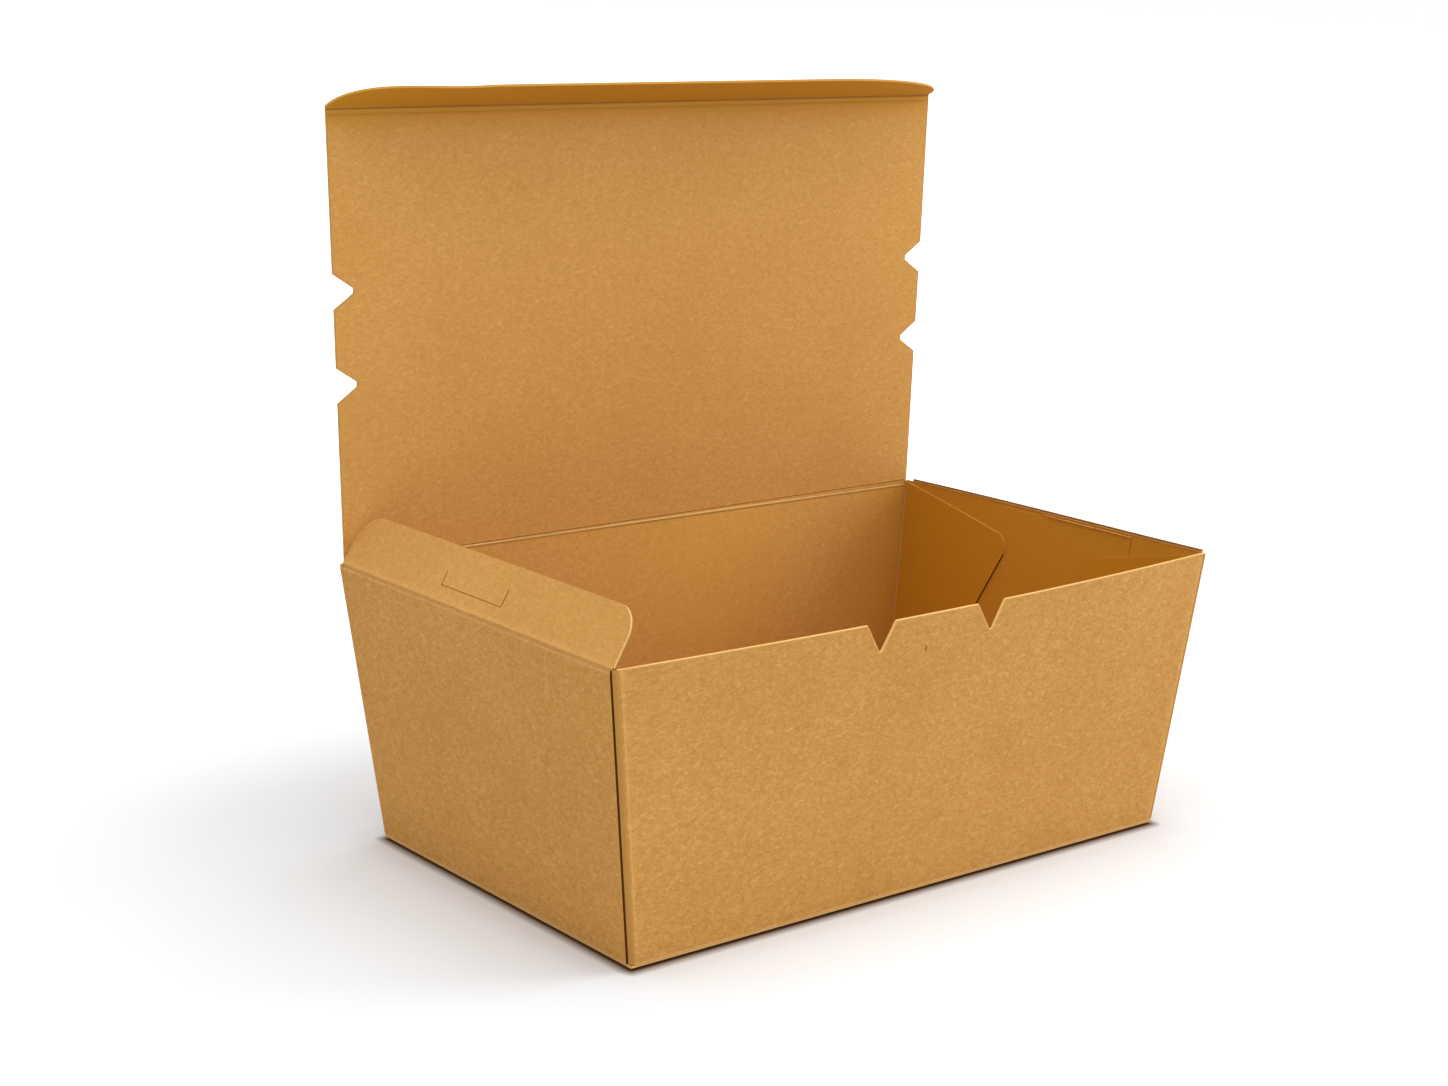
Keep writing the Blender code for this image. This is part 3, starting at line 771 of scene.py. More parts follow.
def rim_cuts(path, *insets):
    """Cuts beside each straight edge of a path, on its left."""
    cuts = []
    for (a, b), (next_a, next_b) in zip(path[:-1], path[1:]):
        along = Vector((next_a - a, next_b - b)).normalized()
        normal = (-along.y, along.x)
        cuts += [((a + normal[0] * inset, b + normal[1] * inset), normal) for inset in insets]
    return cuts


def mirrored_path(path):
    """The same path on the other side, run the other way, so that its left stays inside."""
    return [(-a, b) for a, b in reversed(path)]


def rim_weight(flat, path, inset):
    """1 within a distance of a path's edges, 0 further in."""
    nearest = np.full(len(flat), np.inf)
    for start, end in zip(path[:-1], path[1:]):
        nearest = np.minimum(nearest, line_distance(flat, start, end))
    return np.where(nearest < inset + MERGE / 2, 1.0, 0.0)


def faced(shape, direction):
    """Turn a sheet's faces so that its lowest one points in a direction."""
    lowest = min(shape.faces, key=lambda face: face.calc_center_median().z)
    lowest.normal_update()
    if lowest.normal.dot(Vector(direction)) < 0:
        bmesh.ops.reverse_faces(shape, faces=shape.faces[:])
    return shape


def arc_corner(before, corner, after, radius):
    """Points of a round corner between two straight edges."""
    before, corner, after = Vector(before), Vector(corner), Vector(after)
    back = (before - corner).normalized()
    ahead = (after - corner).normalized()
    half_angle = back.angle(ahead) / 2
    centre = corner + (back + ahead).normalized() * (radius / math.sin(half_angle))
    reach = radius / math.tan(half_angle)
    first = corner + back * reach - centre
    sweep = first.angle_signed(corner + ahead * reach - centre)
    turns = [-sweep * step / ARC_STEPS for step in range(ARC_STEPS + 1)]
    return [tuple(centre + Matrix.Rotation(turn, 2) @ first) for turn in turns]


class TrayForm:
    """Sizes of the folded tray that its panels share."""

    def __init__(self):
        rise = WALL_HEIGHT - BOARD / 2
        self.base_x = TOP_HALF_LENGTH - SIDE_WALL_RUN
        self.base_y = TOP_HALF_DEPTH - LONG_WALL_RUN
        self.side_slant = math.hypot(SIDE_WALL_RUN, rise)
        self.long_slant = math.hypot(LONG_WALL_RUN, rise)
        self.side_angle = math.pi / 2 - math.atan2(SIDE_WALL_RUN, rise)
        self.long_angle = math.pi / 2 - math.atan2(LONG_WALL_RUN, rise)
        self.corner_foot = self.base_x - GLUE_OFFSET
        self.corner_top = TOP_HALF_LENGTH - GLUE_OFFSET
        self.long_reach = BASE_BEND_RADIUS * math.tan(self.long_angle / 2)
        side_normal = Vector((math.sin(self.side_angle), 0.0, -math.cos(self.side_angle)))
        long_normal = Vector((0.0, -math.sin(self.long_angle), -math.cos(self.long_angle)))
        self.corner_angle = side_normal.angle(long_normal)
        self.crease = Vector((self.corner_top - self.corner_foot, self.long_slant)).normalized()
        self.outward = Vector((self.crease.y, -self.crease.x))

    def corner_at(self, up):
        """Half the width of the front or back wall at a distance up its slope."""
        return self.corner_foot + (self.corner_top - self.corner_foot) * up / self.long_slant

    def glue_flap(self):
        """Outline of a glue flap, unfolded into the plane of the front or back wall."""
        slant = self.side_slant
        corner_top = (TOP_HALF_DEPTH, slant - GLUE_TOP_DROP)
        nose = (TOP_HALF_DEPTH - GLUE_NOSE_OUT, slant - GLUE_NOSE_DOWN)
        foot = (self.base_y - GLUE_FOOT_OUT, GLUE_FOOT_GAP)
        corner_foot = (self.base_y, GLUE_FOOT_GAP)
        points = [corner_foot, foot, *arc_corner(foot, nose, corner_top, GLUE_NOSE_RADIUS), corner_top]
        along = Vector((TOP_HALF_DEPTH - self.base_y, slant)).normalized()
        inward = Vector((-along.y, along.x))
        unfolded = []
        for point in points:
            offset = Vector(point) - Vector((self.base_y, 0.0))
            flat = self.crease * offset.dot(along) + self.outward * max(offset.dot(inward), 0.0)
            unfolded.append((self.corner_foot + flat.x, flat.y))
        return unfolded


def long_strip(form, end, top_points, drop, cuts, press, shades):
    """The front or back wall with its two glue flaps, folded up from the base's edge."""
    glue = form.glue_flap()
    half = [(form.corner_foot, -form.long_reach), (form.corner_foot, 0.0), *glue]
    half.append((form.corner_at(form.long_slant - drop), form.long_slant - drop))
    outline = half + top_points + mirrored_path(half)
    widest = max(a for a, b in half)
    glue_tops = [glue[-2:], mirrored_path(glue[-2:])]
    top_rims = [[half[-1], *top_points, mirrored_path(half)[0]]] if top_points else []
    dark_rims = [glue[1:3], mirrored_path(glue[1:3])]
    for rim in top_rims + glue_tops:
        cuts = cuts + rim_cuts(rim, *RIM_INSETS)
    for rim in dark_rims:
        cuts = cuts + rim_cuts(rim, EDGE_SHADE)
    cuts = cuts + grid_cuts(-widest, widest, 0.0, form.long_slant)
    cuts += cuts_out(bend_offsets(form.long_angle, BASE_BEND_RADIUS))
    cuts += cuts_out(FOOT_PALE_UP + offset for offset in FOOT_CUTS)
    for side in (-1, 1):
        outward = Vector((side * form.outward.x, form.outward.y))
        for offset in bend_offsets(form.corner_angle):
            at = Vector((side * form.corner_foot, 0.0)) + outward * offset
            cuts.append((tuple(at), tuple(outward)))
        for offset in NARROW_CUTS:
            at = Vector((side * (form.corner_foot - CORNER_PALE_INSET + offset), 0.0))
            cuts.append((tuple(at), tuple(outward)))
    shape = flat_sheet(outline, cuts)
    flat = points_of(shape)
    points = flat.copy()
    corner = form.corner_at(flat[:, 1])
    inside = np.abs(flat[:, 0]) < corner
    across = flat[:, 0] / corner
    level = np.clip(flat[:, 1] / form.long_slant, 0.0, 1.0)
    share = np.clip(1 - across ** 2, 0.0, 1.0)
    bow = sizes().front_bow if end < 0 else 0.0
    points[:, 2] -= np.where(inside, bow * share * level ** BOW_POWER, 0.0)
    pressed = np.zeros(len(flat))
    for start, finish in press:
        pressed = np.maximum(pressed, line_weight(flat, start, finish))
    points[:, 2] += PRESS_DEPTH * pressed
    # Pale along pressed lines, top rims and the glue flaps' tops: painted highlights; dark along the glue
    # flaps' lower edges and the given lines: painted shade
    wear_and_highlight = PRESS_HIGHLIGHT * pressed
    crevice_shade = np.zeros(len(flat))
    for rim in top_rims:
        wear_and_highlight = np.maximum(wear_and_highlight, TOP_RIM_HIGHLIGHT * rim_weight(flat, rim, LIP))
    for rim in glue_tops:
        wear_and_highlight = np.maximum(wear_and_highlight, rim_weight(flat, rim, LIP))
    for rim in dark_rims:
        crevice_shade = np.maximum(crevice_shade, rim_weight(flat, rim, EDGE_SHADE / 2))
    for start, finish, strength in shades:
        crevice_shade = np.maximum(crevice_shade, strength * line_weight(flat, start, finish))
    # Painted shade on the inner side, deeper towards the corners and the foot, less a pool of painted bounce
    # light; painted shade all over the glue flaps
    bounce_light = PAINTED_BOUNCE_SHARE * fading(across - BOUNCE_PLACE, BOUNCE_WIDTH)
    across = np.abs(across)
    shade_and_bounce = CORNER_DEEP * across ** CORNER_DEEP_POWER + LOW_DEEP * (1 - level) - bounce_light
    shade_and_bounce = np.where(across < 1, shade_and_bounce, GLUE_DEEP)
    # Pale lines beside each corner fold and along the foot: painted highlights; pale places take less painted
    # shade
    for side in (-1, 1):
        top = (side * form.corner_top, form.long_slant)
        foot = (side * form.corner_foot, 0.0)
        pale_top = (top[0] - side * CORNER_PALE_INSET, top[1])
        pale_foot = (foot[0] - side * CORNER_PALE_INSET, foot[1])
        wear_and_highlight = np.maximum(wear_and_highlight, CORNER_HIGHLIGHT * line_weight(flat, pale_foot, pale_top))
        along = (side * form.crease.x, form.crease.y, 0.0)
        outward = (side * form.outward.x, form.outward.y, 0.0)
        points = fold_past(points, (*foot, 0.0), along, outward, (0.0, 0.0, 1.0), form.corner_angle)
    wear_and_highlight = np.maximum(wear_and_highlight, FOOT_HIGHLIGHT * fading(flat[:, 1] - FOOT_PALE_UP, PRESS_WIDTH))
    shade_and_bounce = np.where(wear_and_highlight > PALE_LEAST, np.minimum(shade_and_bounce, GLUE_RIM_DEEP), shade_and_bounce)
    for rim in top_rims:
        shade_and_bounce = shade_and_bounce * (1 - rim_weight(flat, rim, LIP))
    placed = np.column_stack((points[:, 0], end * (form.base_y + points[:, 1]), BOARD / 2 + points[:, 2]))
    placed = fold_past(
        placed, (0.0, end * form.base_y, BOARD / 2), (1.0, 0.0, 0.0), (0.0, end, 0.0), (0.0, 0.0, 1.0),
        form.long_angle, BASE_BEND_RADIUS)
    move_points(shape, placed)
    return shape, share * level, wear_and_highlight, crevice_shade, shade_and_bounce


def base_strip(form):
    """The base with the two side walls, folded up from it."""
    rims = []
    for side, drop in ((1, RIGHT_WALL_DROP), (-1, LEFT_WALL_DROP)):
        top = form.base_x + form.side_slant - drop
        for end, order in ((-side, 1), (side, -1)):
            slit = FRONT_SLIT if end < 0 else BACK_SLIT
            foot_y = form.base_y + BOARD / 2 - slit
            top_y = TOP_HALF_DEPTH + BOARD / 2 - slit + (LEFT_BACK_REACH if side < 0 < end else 0.0)
            half = [
                (side * form.corner_foot, end * (form.base_y - form.long_reach)),
                (side * form.corner_foot, end * foot_y), (side * form.base_x, end * foot_y),
                (side * top, end * top_y)]
            rims += half[::order]
    widest = form.base_x + form.side_slant
    cuts = grid_cuts(-widest, widest, -TOP_HALF_DEPTH, TOP_HALF_DEPTH)
    for side in (-1, 1):
        bend = bend_offsets(form.side_angle, BASE_BEND_RADIUS)
        bend += [side * (FOOT_PALE_UP + offset) for offset in FOOT_CUTS]
        cuts += cuts_along(side * form.base_x + offset for offset in bend)
    line_at = form.base_x + form.side_slant - WALL_LINE_DROP
    cuts += cuts_along(line_at + offset for offset in PRESS_CUTS)
    cuts += cuts_out(WALL_LINE[0] + offset for offset in PRESS_CUTS)
    fold_at = -(form.base_x + form.side_slant - SOFT_FOLD_DROP)
    cuts += cuts_along(fold_at + offset for offset in PRESS_CUTS)
    slit_foot = (form.base_x, -(form.base_y + BOARD / 2 - FRONT_SLIT))
    slit_top = (form.base_x + form.side_slant, -(TOP_HALF_DEPTH + BOARD / 2 - FRONT_SLIT))
    dark_rims = [[slit_foot, slit_top], mirrored_path([slit_foot, slit_top])]
    for rim in dark_rims:
        cuts += rim_cuts(rim, EDGE_SHADE)
    shape = flat_sheet(rims, cuts)
    flat = points_of(shape)
    # The front corners' slits darkened: painted shade
    crevice_shade = np.zeros(len(flat))
    for rim in dark_rims:
        crevice_shade = np.maximum(crevice_shade, rim_weight(flat, rim, EDGE_SHADE / 2))
    points = flat.copy()
    front_y, back_y = WALL_LINE
    line = line_weight(flat, (line_at, front_y), (line_at, back_y))
    line *= np.clip((back_y - flat[:, 1]) / (back_y - front_y) * WALL_LINE_FADE, 0.0, 1.0)
    leg = line_weight(flat, (line_at, front_y), (line_at - WALL_LINE_LEG, front_y))
    pressed = np.maximum(line, leg)
    points[:, 2] -= PRESS_DEPTH * pressed
    # The right wall's pressed line: a painted highlight along it and painted shade in its leg
    wear_and_highlight = WALL_LINE_HIGHLIGHT * line
    crevice_shade = np.maximum(crevice_shade, WALL_LINE_CREVICE * leg)
    past_fold = np.maximum(fold_at - flat[:, 0], 0.0)
    points[:, 2] += math.tan(math.radians(SOFT_FOLD_DEG)) * past_fold
    # The left wall's soft fold: painted highlights along it and painted light on the band past it; the right
    # wall's top rim in painted shade
    wear_and_highlight = np.maximum(wear_and_highlight, SOFT_FOLD_HIGHLIGHT * fading(flat[:, 0] - fold_at, PRESS_WIDTH))
    wear_and_highlight = np.maximum(wear_and_highlight, np.where(past_fold > 0.0, PAST_FOLD_LIGHT, 0.0))
    crevice_shade = np.maximum(crevice_shade, SIDE_TOP_CREVICE * fading(flat[:, 0] - widest, STRIP_WIDTH))
    # Pale line along the foot of each side wall: painted highlight
    foot_up = np.abs(flat[:, 0]) - form.base_x - FOOT_PALE_UP
    wear_and_highlight = np.maximum(wear_and_highlight, FOOT_HIGHLIGHT * fading(foot_up, PRESS_WIDTH))
    inside = np.minimum(form.base_x - np.abs(flat[:, 0]), form.base_y - np.abs(flat[:, 1])) / BASE_SAG_RUN
    inside = np.clip(inside, 0.0, 1.0)
    points[:, 2] += BOARD / 2 - BASE_SAG * inside ** 2 * (3 - 2 * inside)
    for side in (-1, 1):
        points = fold_past(
            points, (side * form.base_x, 0.0, BOARD / 2), (0.0, 1.0, 0.0), (side, 0.0, 0.0), (0.0, 0.0, 1.0),
            form.side_angle, BASE_BEND_RADIUS)
    level = np.clip(points[:, 2] / WALL_HEIGHT, 0.0, 1.0)
    slack = np.clip(1 - (flat[:, 1] / TOP_HALF_DEPTH) ** 2, 0.0, 1.0) * level * (1 - level)
    move_points(shape, points)
    # Painted shade on the inner side, strongest on the right wall and less on pale lines
    shade_and_bounce = np.where(flat[:, 0] > form.base_x, RIGHT_WALL_DEEP, BASE_DEEP)
    return shape, slack, wear_and_highlight, crevice_shade, np.where(wear_and_highlight > PALE_LEAST, WALL_LINE_DEEP, shade_and_bounce)


def joined(sheets):
    """Several sheets as one, with their values, their shared edges merged."""
    whole = bmesh.new()
    layers = [whole.verts.layers.float.new(label) for label in ("slack", "wear_and_highlight", "crevice_shade", "shade_and_bounce")]
    for shape, *values in sheets:
        made = []
        for vertex, *marks in zip(shape.verts, *values):
            copy = whole.verts.new(vertex.co)
            for layer, mark in zip(layers, marks):
                copy[layer] = mark
            made.append(copy)
        shape.verts.index_update()
        for face in shape.faces:
            whole.faces.new([made[vertex.index] for vertex in face.verts])
        shape.free()
    bmesh.ops.remove_doubles(whole, verts=whole.verts, dist=MERGE)
    bmesh.ops.recalc_face_normals(whole, faces=whole.faces)
    return whole, *([vertex[layer] for vertex in whole.verts] for layer in layers)


def front_top(form):
    """The front wall's top edge between its corners, right to left, with its two V notches."""
    top = form.long_slant
    root = top - NOTCH_DEPTH
    tips = [(NOTCH_TIP + NOTCH_TIP_HALF, root), (NOTCH_TIP - NOTCH_TIP_HALF, root)]
    points = [(NOTCH_OUTER, top), *tips, (NOTCH_INNER, top)]
    both = points + mirrored_path(points)
    return [(TONGUE_MIDDLE + a + (NOTCH_TIP_SHIFT if b < top else 0.0), b) for a, b in both]


def bow_share(points, bow):
    """How far the right wall's bow moves points outward along X."""
    share = np.clip(1 - (points[:, 1] / TOP_HALF_DEPTH) ** 2, 0.0, 1.0)
    level = np.clip(points[:, 2] / WALL_HEIGHT, 0.0, 1.0)
    return bow * share * level ** BOW_POWER


def lift_of(points):
    """How far the tray's front right corner is drawn up, fading away along both walls and down them."""
    along = np.clip((1 + points[:, 0] / TOP_HALF_LENGTH) / 2, 0.0, 1.0)
    ahead = np.clip((1 - points[:, 1] / TOP_HALF_DEPTH) / 2, 0.0, 1.0)
    level = np.clip(points[:, 2] / WALL_HEIGHT, 0.0, 1.0)
    return CORNER_LIFT * (along * ahead) ** LIFT_POWER * level


def bow_right(points):
    """Bow the right wall and its glue flaps outward, and lift their front corner."""
    moved = points.copy()
    moved[:, 2] += lift_of(points)
    past_start = points[:, 0] - TOP_HALF_LENGTH * RIGHT_BOW_START
    near = np.clip(past_start / (TOP_HALF_LENGTH * RIGHT_BOW_BLEND), 0.0, 1.0)
    moved[:, 0] += bow_share(points, sizes().right_bow) * near
    return moved


def tray_creases(form):
    """Lines of the beads on the inner side of the tray's folds."""
    lines = []
    depth = BEND_RADIUS / math.cos(math.pi / 4) - BEND_RADIUS + BOARD / 2 - INNER_BEAD_RADIUS / 2
    inset = depth / math.sqrt(2)
    floor = BOARD / 2 + inset
    x, y = form.base_x - inset, form.base_y - inset
    for side in (-1, 1):
        lines.append(((-form.corner_foot, side * y, floor), (form.corner_foot, side * y, floor)))
        lines.append(((side * x, -y, floor), (side * x, y, floor)))
        for end in (-1, 1):
            foot = (side * (form.corner_foot - inset), end * y, floor)
            head_x = form.corner_top - inset
            head_y = TOP_HALF_DEPTH - inset
            lines.append((foot, (side * head_x, end * head_y, WALL_HEIGHT - BOARD)))
    return lines


def base_lines(form):
    """Lines of the four folds around the base, each as long as the base so that they meet at its tips."""
    x = form.base_x + BOARD / 2 - BASE_BEAD_RADIUS
    y = form.base_y + BOARD / 2 - BASE_BEAD_RADIUS
    z = BASE_BEAD_RADIUS
    tips = [(-x, -y, z), (x, -y, z), (x, y, z), (-x, y, z)]
    return list(zip(tips, tips[1:] + tips[:1]))


def hinge_lines(form):
    """The line pressed along the top of the back wall, in front of the lid's fold."""
    y = TOP_HALF_DEPTH - (BOARD / 2 + CREASE_OUT - HINGE_BEAD_RADIUS)
    left_z, right_z = (WALL_HEIGHT - drop for drop in CREASE_DROPS)
    return [((-form.corner_top, y, left_z), (form.corner_top, y, right_z))]


def corner_lines(form):
    """Lines of the upright folds at the four corners, which bulge out to the side walls' faces."""
    inset = CORNER_BEAD_RADIUS - BOARD / 2
    foot_z = BOARD / 2 + CORNER_BEAD_RADIUS
    top_z = WALL_HEIGHT - BOARD / 2
    lines = []
    for side in (-1, 1):
        for end in (-1, 1):
            top = np.array([[side * (TOP_HALF_LENGTH - inset), end * (TOP_HALF_DEPTH - inset), top_z]])
            top[:, 2] += lift_of(top)
            lines.append(((side * (form.base_x - inset), end * (form.base_y - inset), foot_z), tuple(top[0])))
    return lines


class BOX_OT_tray(bpy.types.Operator):
    """Build the tray: base, four walls and four glue flaps, folded and glued."""

    bl_idname = "takeaway_box.tray"
    bl_label = "Tray"

    def execute(self, context):
        form = TrayForm()
        root = form.long_slant - NOTCH_DEPTH
        cuts = cuts_out(root + offset for offset in PRESS_CUTS)
        cuts += cuts_along(TONGUE_NICK + offset for offset in PRESS_CUTS)
        nick = ((TONGUE_NICK, root - TONGUE_NICK_LENGTH), (TONGUE_NICK, root - 2 * TONGUE_NICK_LENGTH))
        cuts += cuts_out(root - TONGUE_NICK_LENGTH * share for share in NICK_CUTS)
        press = [((TONGUE_CREASE[0], root), (TONGUE_CREASE[1], root)), nick]
        # A dark tick beside the nick and a dark line under the hinge: painted shade
        beside = tuple((a + NICK_SHADE_OFFSET, b) for a, b in nick)
        front = long_strip(form, -1, front_top(form), 0.0, cuts, press, [(*beside, NICK_CREVICE)])
        left, right = (form.long_slant - drop - CREASE_SHADE_DROP for drop in CREASE_DROPS)
        shade = ((-form.corner_top, left), (form.corner_top, right))
        cuts = rim_cuts(shade, *PRESS_CUTS)
        back = long_strip(form, 1, [], BACK_WALL_DROP, cuts, [], [(*shade, BACK_LINE_CREVICE)])
        shape, slack, wear_and_highlight, crevice_shade, shade_and_bounce = joined([front, back, base_strip(form)])
        move_points(faced(shape, (0.0, 0.0, -1.0)), bow_right(points_of(shape)))
        board_piece("tray_board", shape, slack, wear_and_highlight, "tray", "tray", crevice_shade, shade_and_bounce)
        bead_piece("tray_creases", tray_creases(form), INNER_BEAD_RADIUS, "tray", inner_crease_material())
        # Corner beads darkened as painted shade; pale beads at the foot and along the hinge carry a painted
        # highlight
        corner_shade = shaded_crease_material("kraft_corner_crease", CORNER_CREASE_SHADE)
        bead_piece("tray_corners", corner_lines(form), CORNER_BEAD_RADIUS, "tray", corner_shade)
        bead_piece("tray_foot", base_lines(form), BASE_BEAD_RADIUS, "tray", highlit_crease_material())
        bead_piece("tray_hinge_line", hinge_lines(form), HINGE_BEAD_RADIUS, "tray", highlit_crease_material())
        return {"FINISHED"}


def lid_half_width(up):
    """Half the lid's width at a distance from its hinge."""
    return LID_HALF_HINGE + LID_FLARE * up / LID_DEPTH


def lid_side(notches_drop):
    """One side edge of the lid, from hinge to free edge, with its two V notches."""
    points = [(lid_half_width(0.0), 0.0)]
    for step in (-1, 1):
        centre = LID_DEPTH / 2 + step * LID_TONGUE_ROOT / 2 - notches_drop
        tip = lid_half_width(centre) - LID_NOTCH_DEPTH
        for offset in (-LID_NOTCH_OPENING / 2, LID_NOTCH_OPENING / 2):
            at = centre + offset
            mouth = (lid_half_width(at), at)
            point = (tip, centre + math.copysign(LID_NOTCH_TIP / 2, offset))
            points += [mouth, point] if offset < 0 else [point, mouth]
    free = LID_DEPTH - LID_TOP_DROP
    return points + [(lid_half_width(free), free)]


class BOX_OT_lid(bpy.types.Operator):
    """Build the lid, upright on the back wall's top edge."""

    bl_idname = "takeaway_box.lid"
    bl_label = "Lid"

    def execute(self, context):
        right = lid_side(RIGHT_NOTCHES_DROP)
        left = mirrored_path(lid_side(0.0))
        widest = max(a for a, b in right)
        cuts = grid_cuts(-widest, widest, 0.0, LID_DEPTH)
        for rim in (right, left):
            cuts += rim_cuts(rim, *RIM_INSETS)
        for drop in (TOP_SHADE_DROP, TOP_PALE_DROP, TOP_LINE_DROP):
            line_at = LID_DEPTH - LID_TOP_DROP - drop
            cuts += cuts_out(line_at + offset for offset in NARROW_CUTS)
        shape = flat_sheet(right + left, cuts)
        flat = points_of(shape)
        hinge = PIVOT["lid_hinge"]
        leaning = flat[:, 0] - LID_LEAN * flat[:, 1] / LID_DEPTH
        move_points(shape, np.column_stack((leaning, np.full(len(flat), hinge.y), hinge.z + flat[:, 1])))
        level = np.clip(flat[:, 1] / LID_DEPTH, 0.0, 1.0)
        slack = 4 * level * (1 - level)
        below = LID_DEPTH - LID_TOP_DROP - flat[:, 1]
        # Under the tuck flap's fold: a painted highlight band between two lines of painted shade, and a
        # painted shadow of the flap fading down the lid; the side rims in painted shade
        wear_and_highlight = TOP_PALE_HIGHLIGHT * fading(below - TOP_PALE_DROP, TOP_PALE_WIDTH)
        crevice_shade = LID_RIM_CREVICE * np.maximum(rim_weight(flat, right, LIP), rim_weight(flat, left, LIP))
        crevice_shade = np.maximum(crevice_shade, TOP_SHADE_CREVICE * fading(below - TOP_SHADE_DROP, PRESS_WIDTH))
        crevice_shade = np.maximum(crevice_shade, TOP_LINE_CREVICE * fading(below - TOP_LINE_DROP, PRESS_WIDTH))
        shade_and_bounce = LID_TOP_DEEP * fading(below, DEEP_RUN)
        board_piece("lid_board", faced(shape, (0.0, 1.0, 0.0)), slack, wear_and_highlight, "lid", "lid", crevice_shade, shade_and_bounce)
        half = lid_half_width(0.0)
        line = ((-half, hinge.y, hinge.z), (half, hinge.y, hinge.z))
        bead_piece("lid_crease", [line], LID_BEAD_RADIUS, "lid")
        return {"FINISHED"}


def tuck_end(half_root, run, fullness):
    """The rounded right end of the tuck flap, from its fold to its free edge."""
    points = []
    for step in range(END_STEPS + 1):
        turn = math.pi / 2 * step / END_STEPS
        inset = run * (1 - math.cos(turn) ** (2 / fullness))
        points.append((half_root - inset, TUCK_WIDTH * math.sin(turn) ** (2 / fullness)))
    return points


class BOX_OT_tuck_flap(bpy.types.Operator):
    """Build the tuck flap, folded forward along the lid's free edge, with its left end curled up."""

    bl_idname = "takeaway_box.tuck_flap"
    bl_label = "Tuck flap"

    def execute(self, context):
        half = lid_half_width(LID_DEPTH)
        outline = tuck_end(half, TUCK_RIGHT_RUN, TUCK_RIGHT_FULLNESS)
        outline += mirrored_path(tuck_end(half, TUCK_LEFT_RUN, TUCK_LEFT_FULLNESS))
        shape = flat_sheet(outline, grid_cuts(-half, half, 0.0, TUCK_WIDTH))
        flat = points_of(shape)
        fold = PIVOT["tuck_fold"]
        curl = np.clip((TUCK_CURL_RUN - half - flat[:, 0]) / TUCK_CURL_RUN, 0.0, 1.0) ** 2
        rise = np.radians(TUCK_RISE_DEG + TUCK_CURL_DEG * curl)
        move_points(shape, np.column_stack((
            flat[:, 0] - LID_LEAN, fold.y - flat[:, 1] * np.cos(rise), fold.z + flat[:, 1] * np.sin(rise))))
        # Pale along the fold: worn fibre with a painted highlight; the underside in painted shade all over
        wear_and_highlight = TUCK_FOLD_WEAR_AND_HIGHLIGHT * fading(flat[:, 1], STRIP_WIDTH)
        none = np.zeros(len(flat))
        shade_and_bounce = none + TUCK_DEEP
        faced(shape, (0.0, 0.0, 1.0))
        board_piece("tuck_board", shape, none, wear_and_highlight, "tuck_flap", "tuck_flap", none, shade_and_bounce)
        line = ((-half - LID_LEAN, fold.y, fold.z), (half - LID_LEAN, fold.y, fold.z))
        bead_piece("tuck_crease", [line], BEAD_RADIUS, "tuck_flap")
        return {"FINISHED"}


def side_flap_outline(half):
    """Outline of a side flap: its fold at zero, its free corners rounded."""
    right = arc_corner((half, 0.0), (half, FLAP_WIDTH), (0.0, FLAP_WIDTH), FLAP_BACK_RADIUS)
    left = arc_corner((half, 0.0), (half, FLAP_WIDTH), (0.0, FLAP_WIDTH), FLAP_FRONT_RADIUS)
    return [(half, 0.0)] + right + mirrored_path(left) + [(-half, 0.0)]


def slit_runs():
    """The U-shaped slit of a side flap as three narrow holes: low and high along, low and high out."""
    low, high = SLIT_ENDS
    wide = SLIT_WIDTH / 2
    near = SLIT_OFFSET
    return [
        (low - wide, high + wide, near - wide, near + wide),
        (low - wide, low + wide, near, near + SLIT_FRONT_LEG),
        (high - wide, high + wide, near, near + SLIT_BACK_LEG),
    ]


